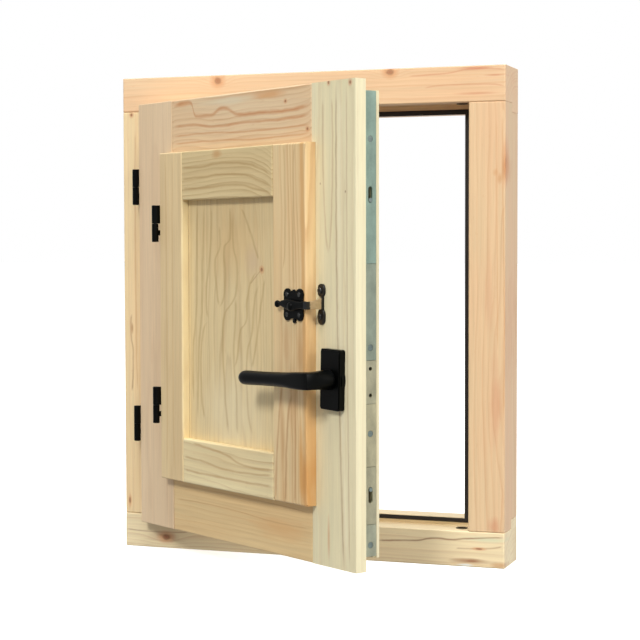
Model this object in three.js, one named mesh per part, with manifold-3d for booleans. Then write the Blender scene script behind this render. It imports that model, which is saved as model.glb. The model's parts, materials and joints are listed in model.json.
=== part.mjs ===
// A small pine window: box frame, rebated sash on two barrel hinges, a hinged
// inner shutter, a cranked lever handle and the bolt mechanism that it drives.
// Millimetres. X runs along the width, Y from the room into the wall, Z up.
// The origin is the middle of the sill's underside.

import * as THREE from 'three';
import { mergeVertices } from 'three/addons/utils/BufferGeometryUtils.js';
import Module from 'manifold-3d';

const wasm = await Module();
wasm.setup();

// ---------------------------------------------------------------- dimensions

const GAP = 0.3; // between pieces that touch
const SEGMENTS = 24; // sides of a visible round
const FINE = 32; // sides of the lever

// Box frame
const FRAME_W = 500;
const FRAME_H = 600;
const FRAME_D = 64;
const JAMB_FACE = 45;
const RAIL_FACE = 43;
const REBATE_DEPTH = 34;
const STOP = 11; // how far the stop stands into the opening
const GASKET_W = 5;
const GASKET_T = 1.5;

// Sash: a lip that covers the frame's inner edge, and a back part in the rebate
const LIP_W = 440;
const LIP_H = 529;
const LIP_T = 14;
const SASH_T = 46.3;
const LIP_STEP_SIDE = 17.5;
const LIP_STEP_END = 10;
const SASH_STILE = 77;
const SASH_RAIL = 71.5;
const OPEN_ANGLE = 33.05; // how far the sash stands open

// Glazing
const GLASS_REBATE = 12;
const GLASS_REBATE_Y = 17;
const PANE_T = 4;
const SPACER_T = 8;
const SPACER_W = 7;

// Shutter on the sash's room face
const SHUTTER_W = 300;
const SHUTTER_H = 400;
const SHUTTER_T = 14;
const SHUTTER_LEFT_STILE = 50;
const SHUTTER_RIGHT_STILE = 62;
const SHUTTER_TOP_RAIL = 58.5;
const SHUTTER_BOTTOM_RAIL = 53.5;
const PANEL_T = 8;
const PANEL_RECESS = 10;

// Joints between timbers
const TENON_LENGTH = 25;
const TENON_T = 10;

// Barrel hinges
const BARREL_R = 4.15;
const BARREL_LENGTH = 45;
const PIN_R = 2.2;
const PIN_BORE_R = 2.5;
const PIN_LENGTH = 18;
const STEM_R = 3.4;
const STEM_HOLE_R = 3.8;
const STEM_DEPTH = 13;
const LEAF_T = 1.8;
const AXIS_TO_EDGE = 4.9; // from a hinge axis to the edge of the leaf it carries
const SASH_AXIS_TO_FACE = 2; // the sash's room face lies this far behind its axis
const SHUTTER_AXIS_TO_FACE = 3;
const SASH_HINGES = { upper: 461, lower: 161 };
const SHUTTER_HINGES = { upper: 414, lower: 190.5 };

// Bolt mechanism in the sash's free edge
const PLATE_Y = 34.2; // centre line of the faceplates, from the sash's room face
const PLATE_W = 16;
const PLATE_T = 2.4;
const ROD_R = 4;
const ROD_INSET = 10.5; // from the sash's edge to the rods' axis
const SPINDLE_INSET = 18.2;
const SPINDLE_Z = 242;
const SPINDLE = 7;
const PINION_R = 7.2;
const BOLT_HOLE_R = 5.6;
const KEEP_R = 7;
const CASE_BOTTOM = 214;
const CASE_TOP = 262;

// Lever handle
const ROSETTE_W = 34;
const ROSETTE_H = 66;
const ROSETTE_T = 8.4;
const ROSETTE_TILT = 1.5; // degrees, its top towards the sash's free edge
const ROSETTE_SCREW = 21.5; // from the spindle to each screw
const LEVER_LENGTH = 127.5;
const LEVER_STAND_OFF = 46.5;
const LEVER_AXIS = 37.5; // grip's axis, from the sash's room face
const LEVER_DROOP = 1.5; // degrees

// Turn latch on the shutter and its keeper on the sash
const LATCH_X = 349.5;
const LATCH_Z = 322;
const LATCH_PLATE_T = 2;
const LATCH_BAR_T = 4.6;
const KEEPER_X = 380;
const KEEPER_REACH = 22.9;

// ------------------------------------------------------------- derived places

const HALF_W = FRAME_W / 2;
const FRONT = -FRAME_D / 2;
const BACK = FRAME_D / 2;
const STOP_Y = FRONT + REBATE_DEPTH;
const REBATE_X = HALF_W - JAMB_FACE;
const STOP_X = REBATE_X - STOP;
const OPENING_BOTTOM = RAIL_FACE;
const OPENING_TOP = FRAME_H - RAIL_FACE;

const SASH_BOTTOM = (FRAME_H - LIP_H) / 2;
const SASH_TOP = SASH_BOTTOM + LIP_H;
const BACK_BOTTOM = SASH_BOTTOM + LIP_STEP_END;
const BACK_TOP = SASH_TOP - LIP_STEP_END;
const EDGE_X = LIP_W - LIP_STEP_SIDE;
const LIGHT_LEFT = SASH_STILE;
const LIGHT_RIGHT = LIP_W - SASH_STILE;
const LIGHT_BOTTOM = SASH_BOTTOM + SASH_RAIL;
const LIGHT_TOP = SASH_TOP - SASH_RAIL;

const SASH_AXIS_X = -LIP_W / 2 - AXIS_TO_EDGE;
const SASH_AXIS_Y = FRONT - GAP - LIP_T - SASH_AXIS_TO_FACE;
const CLOSED_FACE_Y = SASH_AXIS_Y + SASH_AXIS_TO_FACE;

const SHUTTER_LEFT = (LIP_W - SHUTTER_W) / 2;
const SHUTTER_RIGHT = SHUTTER_LEFT + SHUTTER_W;
const SHUTTER_BOTTOM = (FRAME_H - SHUTTER_H) / 2;
const SHUTTER_TOP = SHUTTER_BOTTOM + SHUTTER_H;
const SHUTTER_AXIS_X = SHUTTER_LEFT - AXIS_TO_EDGE;
const SHUTTER_AXIS_Y = -SHUTTER_T - SHUTTER_AXIS_TO_FACE;

const ROD_X = EDGE_X - ROD_INSET;
const SPINDLE_X = EDGE_X - SPINDLE_INSET;
const BOLT_X = ROD_X - LIP_W / 2;
const BOLT_Y = CLOSED_FACE_Y + PLATE_Y;

// ------------------------------------------------------------------ materials

const finish = (color, roughness, metalness = 0) => () => new THREE.MeshStandardMaterial({
  color, roughness, metalness,
});
const finishes = {
  framePine: finish(0xf2cfa0, 0.55),
  sashPine: finish(0xdcc39a, 0.55),
  shutterPine: finish(0xcfb384, 0.55),
  beadPine: finish(0xe2c594, 0.55),
  blackPaint: finish(0x0d0f0f, 0.4, 0.2),
  zinc: finish(0x9aa4a3, 0.4, 0.9),
  rubber: finish(0x0e0e0e, 0.8),
  spacer: finish(0xb4b7b8, 0.5, 0.8),
  glass: () => new THREE.MeshStandardMaterial({
    color: 0xdfe9e6, roughness: 0.05, transparent: true, opacity: 0.35,
  }),
};

// -------------------------------------------------------------------- solids

function toSolid(geometry) {
  const bare = geometry.clone();
  bare.deleteAttribute('normal');
  bare.deleteAttribute('uv');
  const merged = mergeVertices(bare, 1e-5);
  return new wasm.Manifold(new wasm.Mesh({
    numProp: 3,
    vertProperties: new Float32Array(merged.attributes.position.array),
    triVerts: new Uint32Array(merged.index.array),
  }));
}

function toGeometry(solid) {
  const mesh = solid.getMesh();
  const geometry = new THREE.BufferGeometry();
  geometry.setAttribute('position', new THREE.BufferAttribute(mesh.vertProperties, 3));
  geometry.setIndex(new THREE.BufferAttribute(mesh.triVerts, 1));
  geometry.computeVertexNormals();
  return geometry;
}

function box([x0, x1], [y0, y1], [z0, z1]) {
  const geometry = new THREE.BoxGeometry(x1 - x0, y1 - y0, z1 - z0);
  geometry.translate((x0 + x1) / 2, (y0 + y1) / 2, (z0 + z1) / 2);
  return toSolid(geometry);
}

// A round bar or hole along one axis, from `from` to `to`, centred at `at`,
// which gives the two other coordinates in X, Y, Z order.
function round(axis, r, from, to, at, sides = SEGMENTS) {
  const geometry = new THREE.CylinderGeometry(r, r, to - from, sides);
  const middle = (from + to) / 2;
  if (axis === 'x') {
    geometry.rotateZ(Math.PI / 2);
    geometry.translate(middle, at[0], at[1]);
  } else if (axis === 'y') {
    geometry.translate(at[0], middle, at[1]);
  } else {
    geometry.rotateX(Math.PI / 2);
    geometry.translate(at[0], at[1], middle);
  }
  return toSolid(geometry);
}

// A turned shape about Z: points are [radius, height], from axis to axis.
function turned(points, at, sides = SEGMENTS) {
  const geometry = new THREE.LatheGeometry(points.map(([r, h]) => new THREE.Vector2(r, h)), sides);
  geometry.rotateX(Math.PI / 2);
  geometry.translate(...at);
  return toSolid(geometry);
}

// A turned shape about Y: the height of a point is how far it stands out of
// the face towards the room.
function turnedOut(points, at, sides = SEGMENTS) {
  const geometry = new THREE.LatheGeometry(points.map(([r, h]) => new THREE.Vector2(r, h)), sides);
  geometry.rotateX(Math.PI);
  geometry.translate(...at);
  return toSolid(geometry);
}

// An outline in X and Z, from y0 out towards the room by `depth`.
function outlined(shape, y0, depth, curveSegments = 6) {
  const geometry = new THREE.ExtrudeGeometry(shape, { depth, bevelEnabled: false, curveSegments });
  geometry.rotateX(Math.PI / 2);
  geometry.translate(0, y0, 0);
  return toSolid(geometry);
}

function roundedRectangle(width, height, r, cx = 0, cz = 0) {
  const shape = new THREE.Shape();
  const [left, right] = [cx - width / 2, cx + width / 2];
  const [low, high] = [cz - height / 2, cz + height / 2];
  shape.moveTo(left + r, low);
  shape.lineTo(right - r, low);
  shape.absarc(right - r, low + r, r, -Math.PI / 2, 0, false);
  shape.lineTo(right, high - r);
  shape.absarc(right - r, high - r, r, 0, Math.PI / 2, false);
  shape.lineTo(left + r, high);
  shape.absarc(left + r, high - r, r, Math.PI / 2, Math.PI, false);
  shape.lineTo(left, low + r);
  shape.absarc(left + r, low + r, r, Math.PI, 1.5 * Math.PI, false);
  return shape;
}

function union(...solids) {
  return solids.reduce((all, solid) => all.add(solid));
}

function cut(solid, ...tools) {
  return tools.reduce((left, tool) => left.subtract(tool), solid);
}

function place(parent, name, finishName, solid) {
  const mesh = new THREE.Mesh(toGeometry(solid), finishes[finishName]());
  mesh.name = name;
  parent.add(mesh);
}

// ---------------------------------------------------------------- small parts

// A screw in the sash's free edge, its head facing +X.
function edgeScrew(x, y, z, headR, length) {
  const shankR = headR * 0.5;
  return union(
    round('x', headR, x - 0.9, x, [y, z], 16),
    round('x', shankR, x - length, x - 0.8, [y, z], 16),
  ).subtract(box([x - 0.6, x + 1], [y - headR * 0.7, y + headR * 0.7], [z - 0.4, z + 0.4]));
}

// The half of a barrel hinge that stands on a stem: barrel, pin and stem.
function stemHalf(x, y, z, faceY) {
  const low = z - BARREL_LENGTH / 2;
  const top = z - GAP / 2;
  const barrel = turned([
    [0, low], [BARREL_R - 0.6, low], [BARREL_R, low + 0.6], [BARREL_R, top],
    [PIN_R, top], [PIN_R, top + PIN_LENGTH - 1], [PIN_R - 0.8, top + PIN_LENGTH], [0, top + PIN_LENGTH],
  ], [x, y, 0]);
  const stem = round('y', STEM_R, y, faceY + STEM_DEPTH, [x, z - BARREL_LENGTH / 4], 16);
  const collar = round('y', STEM_R + 1.4, faceY - 2.2, faceY - GAP, [x, z - BARREL_LENGTH / 4], 16);
  return union(barrel, stem, collar);
}

// The half that carries a leaf on the edge of the swinging part.
function leafHalf(x, y, z, leafBackY) {
  const low = z + GAP / 2;
  const high = z + BARREL_LENGTH / 2;
  const barrel = turned([
    [0, low + PIN_LENGTH + 1], [PIN_BORE_R, low + PIN_LENGTH + 1], [PIN_BORE_R, low], [BARREL_R, low],
    [BARREL_R, high - 0.6], [BARREL_R - 0.6, high], [0, high],
  ], [x, y, 0]);
  const leafX = x + AXIS_TO_EDGE - GAP;
  const leaf = box([leafX - LEAF_T, leafX], [y, leafBackY], [low, high]);
  return cut(
    union(barrel, leaf),
    round('z', PIN_BORE_R, low - 1, low + PIN_LENGTH + 1, [x, y]),
  );
}

function stemHole(x, z, faceY) {
  return round('y', STEM_HOLE_R, faceY - 1, faceY + STEM_DEPTH + 1, [x, z - BARREL_LENGTH / 4], 16);
}

// ----------------------------------------------------------------- box frame

function frameRail(outer, inner, towardsOpening) {
  const stop = inner + towardsOpening * STOP;
  const span = (a, b) => [Math.min(a, b), Math.max(a, b)];
  return union(
    box([-HALF_W, HALF_W], [FRONT, STOP_Y], span(outer, inner)),
    box([-HALF_W, HALF_W], [STOP_Y, BACK], span(outer, stop)),
  );
}

function frameJamb(side) {
  const span = (a, b) => [Math.min(side * a, side * b), Math.max(side * a, side * b)];
  return union(
    box(span(REBATE_X, HALF_W), [FRONT, STOP_Y], [OPENING_BOTTOM, OPENING_TOP]),
    box(span(STOP_X, HALF_W), [STOP_Y, BACK], [OPENING_BOTTOM + STOP, OPENING_TOP - STOP]),
  );
}

// A flanged bush that a bolt end runs into. `inward` is the way out of the wood.
function boltKeep(z, inward) {
  const [flangeLow, flangeHigh] = inward > 0 ? [z, z + 1] : [z - 1, z];
  const [bodyLow, bodyHigh] = inward > 0 ? [z - 13, z] : [z, z + 13];
  return cut(
    union(
      round('z', KEEP_R, flangeLow, flangeHigh, [BOLT_X, BOLT_Y]),
      round('z', BOLT_HOLE_R - GAP, bodyLow, bodyHigh, [BOLT_X, BOLT_Y]),
    ),
    round('z', ROD_R + 0.6, z - 14, z + 14, [BOLT_X, BOLT_Y]),
  );
}

function buildFrame(root) {
  const boltHole = (from, to) => round('z', BOLT_HOLE_R, from, to, [BOLT_X, BOLT_Y]);
  place(root, 'frame_head', 'framePine', cut(
    frameRail(FRAME_H, OPENING_TOP, -1),
    boltHole(OPENING_TOP - 1, OPENING_TOP + 14),
  ));
  place(root, 'frame_sill', 'framePine', cut(
    frameRail(0, OPENING_BOTTOM, 1),
    boltHole(OPENING_BOTTOM - 14, OPENING_BOTTOM + 1),
  ));
  const stemHoles = Object.values(SASH_HINGES).map((z) => stemHole(SASH_AXIS_X, z, FRONT));
  place(root, 'frame_jamb_left', 'framePine', cut(frameJamb(-1), ...stemHoles));
  place(root, 'frame_jamb_right', 'framePine', frameJamb(1));

  const ring = (inset, y) => box(
    [-STOP_X - inset, STOP_X + inset],
    y,
    [OPENING_BOTTOM + STOP - inset, OPENING_TOP - STOP + inset],
  );
  place(root, 'frame_gasket', 'rubber', cut(
    ring(GASKET_W, [STOP_Y - GASKET_T, STOP_Y]),
    ring(0, [STOP_Y - GASKET_T - 1, STOP_Y + 1]),
  ));
  place(root, 'bolt_keep_head', 'zinc', boltKeep(OPENING_TOP, -1));
  place(root, 'bolt_keep_sill', 'zinc', boltKeep(OPENING_BOTTOM, 1));
  for (const [level, z] of Object.entries(SASH_HINGES)) {
    place(root, `sash_hinge_${level}_frame_half`, 'blackPaint', stemHalf(SASH_AXIS_X, SASH_AXIS_Y, z, FRONT));
  }
}

// ---------------------------------------------------------------------- sash
// From here on X runs from the sash's hinge edge and Y from its room face.

function tenon(x0, x1, zMiddle, height) {
  const y = GLASS_REBATE_Y + 3;
  return box([x0, x1], [y, y + TENON_T], [zMiddle - height / 2, zMiddle + height / 2]);
}

function sashMortise(x0, x1, zMiddle, height) {
  const y = GLASS_REBATE_Y + 3;
  return box(
    [x0, x1],
    [y - GAP, y + TENON_T + GAP],
    [zMiddle - height / 2 - GAP, zMiddle + height / 2 + GAP],
  );
}

const TENON_H = 34;
const TENON_TOP_Z = (LIGHT_TOP + GLASS_REBATE + BACK_TOP) / 2;
const TENON_BOTTOM_Z = (LIGHT_BOTTOM - GLASS_REBATE + BACK_BOTTOM) / 2;

function sashStile(x0, x1, backX0, backX1) {
  return union(
    box([x0, x1], [0, LIP_T], [SASH_BOTTOM, SASH_TOP]),
    box([backX0, backX1], [LIP_T, SASH_T], [BACK_BOTTOM, BACK_TOP]),
  );
}

function sashRail(low, high, backLow, backHigh, rebateLow, rebateHigh, tenonZ) {
  const [left, right] = [LIGHT_LEFT + GAP, LIGHT_RIGHT - GAP];
  return union(
    box([left, right], [0, LIP_T], [low, high]),
    box([left, right], [LIP_T, SASH_T], [backLow, backHigh]),
  ).subtract(
    box([left - 1, right + 1], [GLASS_REBATE_Y, SASH_T + 1], [rebateLow, rebateHigh]),
  ).add(
    tenon(LIGHT_LEFT - TENON_LENGTH, LIGHT_RIGHT + TENON_LENGTH, tenonZ, TENON_H)
      .subtract(box([left + 1, right - 1], [0, SASH_T], [0, FRAME_H])),
  );
}

function buildSashTimber(leaf) {
  const mortises = [TENON_TOP_Z, TENON_BOTTOM_Z];
  const rebateZ = [LIGHT_BOTTOM - GLASS_REBATE, LIGHT_TOP + GLASS_REBATE];
  const depth = TENON_LENGTH + 1;
  place(leaf, 'sash_stile_hinge_side', 'sashPine', cut(
    sashStile(0, LIGHT_LEFT, LIP_STEP_SIDE, LIGHT_LEFT),
    box([LIGHT_LEFT - GLASS_REBATE, LIGHT_LEFT + 1], [GLASS_REBATE_Y, SASH_T + 1], rebateZ),
    ...mortises.map((z) => sashMortise(LIGHT_LEFT - depth, LIGHT_LEFT + 1, z, TENON_H)),
    ...Object.values(SHUTTER_HINGES).map((z) => stemHole(SHUTTER_AXIS_X, z, 0)),
  ));

  const channel = (x, y, z) => box([x, EDGE_X + 1], [PLATE_Y - y, PLATE_Y + y], z);
  const plateBed = EDGE_X - PLATE_T - GAP;
  place(leaf, 'sash_stile_lock_side', 'sashPine', cut(
    sashStile(LIGHT_RIGHT, LIP_W, LIGHT_RIGHT, EDGE_X),
    box([LIGHT_RIGHT - 1, LIGHT_RIGHT + GLASS_REBATE], [GLASS_REBATE_Y, SASH_T + 1], rebateZ),
    ...mortises.map((z) => sashMortise(LIGHT_RIGHT - 1, LIGHT_RIGHT + depth, z, TENON_H)),
    channel(plateBed, PLATE_W / 2 + GAP, [BACK_BOTTOM - 1, BACK_TOP + 1]),
    channel(ROD_X - ROD_R - 1, ROD_R + 1, [BACK_BOTTOM - 1, BACK_TOP + 1]),
    channel(SPINDLE_X - 16, PLATE_W / 2, [CASE_BOTTOM - 0.5, CASE_TOP + 0.5]),
    channel(SPINDLE_X - 12.5, ROD_R + 1, [CASE_BOTTOM - 22, CASE_BOTTOM]),
    round('y', SPINDLE, -1, PLATE_Y, [SPINDLE_X, SPINDLE_Z]),
    ...rosetteScrewPlaces().map((at) => round('y', 2.8, -1, 23, at, 16)),
    ...keeperScrewHeights().map((z) => round('y', 2.2, -1, 13, [KEEPER_X - 0.4, z], 12)),
  ));

  place(leaf, 'sash_rail_top', 'sashPine', sashRail(
    LIGHT_TOP, SASH_TOP, LIGHT_TOP, BACK_TOP, LIGHT_TOP - 1, LIGHT_TOP + GLASS_REBATE, TENON_TOP_Z,
  ));
  place(leaf, 'sash_rail_bottom', 'sashPine', sashRail(
    SASH_BOTTOM, LIGHT_BOTTOM, BACK_BOTTOM, LIGHT_BOTTOM,
    LIGHT_BOTTOM - GLASS_REBATE, LIGHT_BOTTOM + 1, TENON_BOTTOM_Z,
  ));
}

function buildGlazing(leaf) {
  const [x0, x1] = [LIGHT_LEFT - GLASS_REBATE + 1, LIGHT_RIGHT + GLASS_REBATE - 1];
  const [z0, z1] = [LIGHT_BOTTOM - GLASS_REBATE + 1, LIGHT_TOP + GLASS_REBATE - 1];
  let y = GLASS_REBATE_Y + GAP;
  const layer = (thickness) => {
    const span = [y, y + thickness];
    y += thickness + GAP;
    return span;
  };
  place(leaf, 'glass_room_side', 'glass', box([x0, x1], layer(PANE_T), [z0, z1]));
  const spacer = layer(SPACER_T);
  place(leaf, 'glass_spacer', 'spacer', cut(
    box([x0, x1], spacer, [z0, z1]),
    box([x0 + SPACER_W, x1 - SPACER_W], [0, SASH_T], [z0 + SPACER_W, z1 - SPACER_W]),
  ));
  place(leaf, 'glass_outer_side', 'glass', box([x0, x1], layer(PANE_T), [z0, z1]));

  const beadY = [y, SASH_T];
  const width = GLASS_REBATE - 2 * GAP;
  const [left, right] = [LIGHT_LEFT - GLASS_REBATE + GAP, LIGHT_RIGHT + GLASS_REBATE - GAP];
  const [low, high] = [LIGHT_BOTTOM - GLASS_REBATE + GAP, LIGHT_TOP + GLASS_REBATE - GAP];
  place(leaf, 'glazing_bead_top', 'beadPine', box([left, right], beadY, [high - width, high]));
  place(leaf, 'glazing_bead_bottom', 'beadPine', box([left, right], beadY, [low, low + width]));
  const between = [low + width + GAP, high - width - GAP];
  place(leaf, 'glazing_bead_hinge_side', 'beadPine', box([left, left + width], beadY, between));
  place(leaf, 'glazing_bead_lock_side', 'beadPine', box([right - width, right], beadY, between));
}

function buildHinges(leaf, shutter) {
  for (const [level, z] of Object.entries(SASH_HINGES)) {
    place(leaf, `sash_hinge_${level}_sash_half`, 'blackPaint', leafHalf(
      -AXIS_TO_EDGE, -SASH_AXIS_TO_FACE, z, LIP_T - 1,
    ));
  }
  for (const [level, z] of Object.entries(SHUTTER_HINGES)) {
    place(leaf, `shutter_hinge_${level}_sash_half`, 'blackPaint', stemHalf(
      SHUTTER_AXIS_X, SHUTTER_AXIS_Y, z, 0,
    ));
    place(shutter, `shutter_hinge_${level}_shutter_half`, 'blackPaint', leafHalf(
      SHUTTER_AXIS_X, SHUTTER_AXIS_Y, z, -1,
    ));
  }
}

// ------------------------------------------------------------ bolt mechanism

// The faceplate is in lengths; each has a screw, and some a slot for a stud.
const UPPER_STUD_Z = 436;
const LOWER_STUD_Z = 121;
const STUD_TRAVEL = 12;
const FACEPLATES = [
  { name: 'faceplate_top', z: [367.4, 554], screw: 502, slot: [UPPER_STUD_Z, STUD_TRAVEL] },
  { name: 'faceplate_upper', z: [262.3, 367], screw: 276 },
  { name: 'gearbox_front', z: [214.8, 261.9] },
  { name: 'faceplate_lower', z: [146, 214.4], screw: 182 },
  { name: 'faceplate_bottom', z: [82.8, 145.6], slot: [LOWER_STUD_Z, -STUD_TRAVEL] },
  { name: 'faceplate_end', z: [47.5, 82.4], screw: 60 },
];

function buildFaceplates(leaf) {
  const screwR = 3.4;
  for (const { name, z, screw, slot } of FACEPLATES) {
    let plate = box([EDGE_X - PLATE_T, EDGE_X], [PLATE_Y - PLATE_W / 2, PLATE_Y + PLATE_W / 2], z);
    if (screw) {
      plate = cut(
        plate,
        round('x', screwR + GAP, EDGE_X - 1.4, EDGE_X + 1, [PLATE_Y, screw], 16),
        round('x', screwR * 0.5 + GAP, EDGE_X - 5, EDGE_X + 1, [PLATE_Y, screw], 16),
      );
      place(leaf, `${name}_screw`, 'zinc', edgeScrew(EDGE_X - 0.2, PLATE_Y, screw, screwR, PLATE_T + 3));
    }
    if (slot) {
      const [rest, travel] = slot;
      const span = [Math.min(rest, rest + travel), Math.max(rest, rest + travel)];
      plate = cut(
        plate,
        box([EDGE_X - 5, EDGE_X + 1], [PLATE_Y - 2.9, PLATE_Y + 2.9], span),
        ...span.map((end) => round('x', 2.9, EDGE_X - 5, EDGE_X + 1, [PLATE_Y, end], 16)),
      );
    }
    if (name === 'gearbox_front') {
      plate = cut(plate, ...[-1, 1].map((side) => (
        round('x', 2.2, EDGE_X - 5, EDGE_X + 1, [PLATE_Y, SPINDLE_Z - 3.5 + side * 14.5], 12)
      )));
    }
    place(leaf, name, 'zinc', plate);
  }
}

function buildGearbox(leaf, handle) {
  const outside = [SPINDLE_X - 15.5, EDGE_X - PLATE_T - 2 * GAP];
  const wall = 2;
  place(leaf, 'gearbox_case', 'zinc', cut(
    box(outside, [PLATE_Y - 7, PLATE_Y + 7], [CASE_BOTTOM, CASE_TOP]),
    box(
      [outside[0] + wall, outside[1] + 1],
      [PLATE_Y - 7 + wall, PLATE_Y + 7 - wall],
      [CASE_BOTTOM + wall, CASE_TOP - wall],
    ),
    round('y', 5.6, 0, SASH_T, [SPINDLE_X, SPINDLE_Z]),
    box([ROD_X - ROD_R - GAP, outside[1] + 1], [PLATE_Y - 4.3, PLATE_Y + 4.3], [CASE_TOP - 5, CASE_TOP + 1]),
    box(
      [SPINDLE_X - 12, SPINDLE_X - PINION_R],
      [PLATE_Y - 3.4, PLATE_Y + 3.4],
      [CASE_BOTTOM - 1, CASE_BOTTOM + 5],
    ),
  ));

  const teeth = 12;
  const gear = new THREE.Shape();
  for (let i = 0; i < teeth * 4; i += 1) {
    const r = i % 4 < 2 ? PINION_R : PINION_R - 1.8;
    const angle = ((i + 0.5) / (teeth * 4)) * 2 * Math.PI;
    const [x, z] = [r * Math.cos(angle), r * Math.sin(angle)];
    if (i === 0) gear.moveTo(x, z);
    else gear.lineTo(x, z);
  }
  place(handle, 'drive_pinion', 'zinc', cut(
    union(
      outlined(gear, PLATE_Y + 4, 8),
      round('y', 5.2, PLATE_Y - 6.5, PLATE_Y + 6.5, [0, 0]),
    ),
    box([-SPINDLE / 2 - GAP, SPINDLE / 2 + GAP], [0, SASH_T], [-SPINDLE / 2 - GAP, SPINDLE / 2 + GAP]),
  ));
}

// Rack teeth face the pinion and stop just short of it.
function rack(x0, x1, z, toothSide) {
  const pitch = (2 * Math.PI * PINION_R) / 12;
  const teeth = [];
  for (let low = z[0] + 1; low < z[1] - pitch; low += pitch) {
    const x = toothSide > 0 ? [x1 - 1.2, x1 + 0.1] : [x0 - 0.1, x0 + 1.2];
    teeth.push(box(x, [PLATE_Y - 5, PLATE_Y + 5], [low, low + pitch * 0.5]));
  }
  return cut(box([x0, x1], [PLATE_Y - 3, PLATE_Y + 3], z), ...teeth);
}

function rod(z0, z1) {
  return turned([
    [0, z0], [ROD_R - 1, z0], [ROD_R, z0 + 1], [ROD_R, z1 - 1], [ROD_R - 1, z1], [0, z1],
  ], [ROD_X, PLATE_Y, 0], 16);
}

function stud(z) {
  return round('x', 2.3, ROD_X, EDGE_X + 0.6, [PLATE_Y, z], 16);
}

function buildRods(upperBolt, lowerBolt) {
  const right = SPINDLE_X + PINION_R + 0.4;
  const left = SPINDLE_X - PINION_R - 0.4;
  place(upperBolt, 'upper_bolt_rod', 'zinc', union(
    rack(right, right + 4, [SPINDLE_Z - 15, CASE_TOP], -1),
    rod(SPINDLE_Z + 12, BACK_TOP - 0.5),
    stud(UPPER_STUD_Z),
  ));
  const linkZ = CASE_BOTTOM - 8;
  place(lowerBolt, 'lower_bolt_rod', 'zinc', union(
    rack(left - 4, left, [linkZ, SPINDLE_Z + 15], 1),
    box([left - 4, ROD_X], [PLATE_Y - 3, PLATE_Y + 3], [linkZ, linkZ + 6]),
    rod(BACK_BOTTOM + 0.5, linkZ + 6),
    stud(LOWER_STUD_Z),
  ));
}

// -------------------------------------------------------------- lever handle

function rosetteScrewPlaces() {
  const tilt = THREE.MathUtils.degToRad(ROSETTE_TILT);
  return [-1, 1].map((side) => [
    SPINDLE_X + side * ROSETTE_SCREW * Math.sin(tilt),
    SPINDLE_Z + side * ROSETTE_SCREW * Math.cos(tilt),
  ]);
}

// Built round the spindle's axis and tilted afterwards.
function buildRosette(rosette) {
  const hole = (r) => round('y', r, -20, 5, [0, 0]);
  const plan = (dw, r) => roundedRectangle(ROSETTE_W - dw, ROSETTE_H - dw, r);
  const screws = [-ROSETTE_SCREW, ROSETTE_SCREW];
  place(rosette, 'rosette_base', 'zinc', cut(
    outlined(plan(3.4, 1.5), -GAP, 3.4),
    hole(8.4),
    ...screws.map((z) => round('y', 2.9, -10, 5, [0, z], 16)),
  ));
  const rim = 1.2;
  place(rosette, 'rosette_cover', 'blackPaint', cut(
    union(
      outlined(plan(0, 2.6), -GAP, ROSETTE_T - rim - GAP),
      outlined(plan(rim * 2, 2.6), -ROSETTE_T + rim, rim),
      round('y', ROSETTE_W / 2 + 1.5, -5, -GAP, [0, 0], FINE),
    ),
    outlined(plan(2.6, 1.2), 1, ROSETTE_T - 0.8),
    hole(8.4),
  ));
  screws.forEach((z, i) => {
    place(rosette, `rosette_screw_${i === 0 ? 'lower' : 'upper'}`, 'zinc', turnedOut([
      [0, -22], [2, -22], [2.4, -21], [2.4, 3.9], [4.3, 3.9], [4.3, 5.2], [3, 6], [0, 6],
    ], [0, 0, z], 16));
  });
}

function buildLever(handle) {
  const headR = 9.4;
  const neck = turnedOut([
    [0, 5], [7.6, 5], [7.6, ROSETTE_T + GAP], [11, ROSETTE_T + GAP], [11.4, 10.5], [10.8, 18],
    [headR + 0.6, 30], [headR, LEVER_STAND_OFF - 1.6], [headR - 1.2, LEVER_STAND_OFF - 0.3],
    [headR - 2, LEVER_STAND_OFF], [0, LEVER_STAND_OFF],
  ], [0, 0, 0], FINE);
  const tip = LEVER_LENGTH;
  const grip = turned([
    [0, 2], [9, 2], [9.1, 14], [8.3, 30], [7.3, 52], [7.5, 80], [8.3, tip - 9],
    [8, tip - 4], [6.6, tip - 1.3], [4, tip - 0.2], [0, tip],
  ], [0, 0, 0], FINE);
  const along = new THREE.Matrix4()
    .makeTranslation(0, -LEVER_AXIS, 0)
    .multiply(new THREE.Matrix4().makeRotationY(-Math.PI / 2));
  const socket = SPINDLE / 2 + GAP;
  place(handle, 'lever', 'blackPaint', cut(
    union(neck, grip.transform(along.elements)),
    box([-socket, socket], [-LEVER_STAND_OFF + 12, 0], [-socket, socket]),
  ));
  place(handle, 'handle_spindle', 'zinc', box(
    [-SPINDLE / 2, SPINDLE / 2],
    [-LEVER_STAND_OFF + 13, PLATE_Y + 6],
    [-SPINDLE / 2, SPINDLE / 2],
  ));
}

// ------------------------------------------------------------------- shutter

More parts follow.
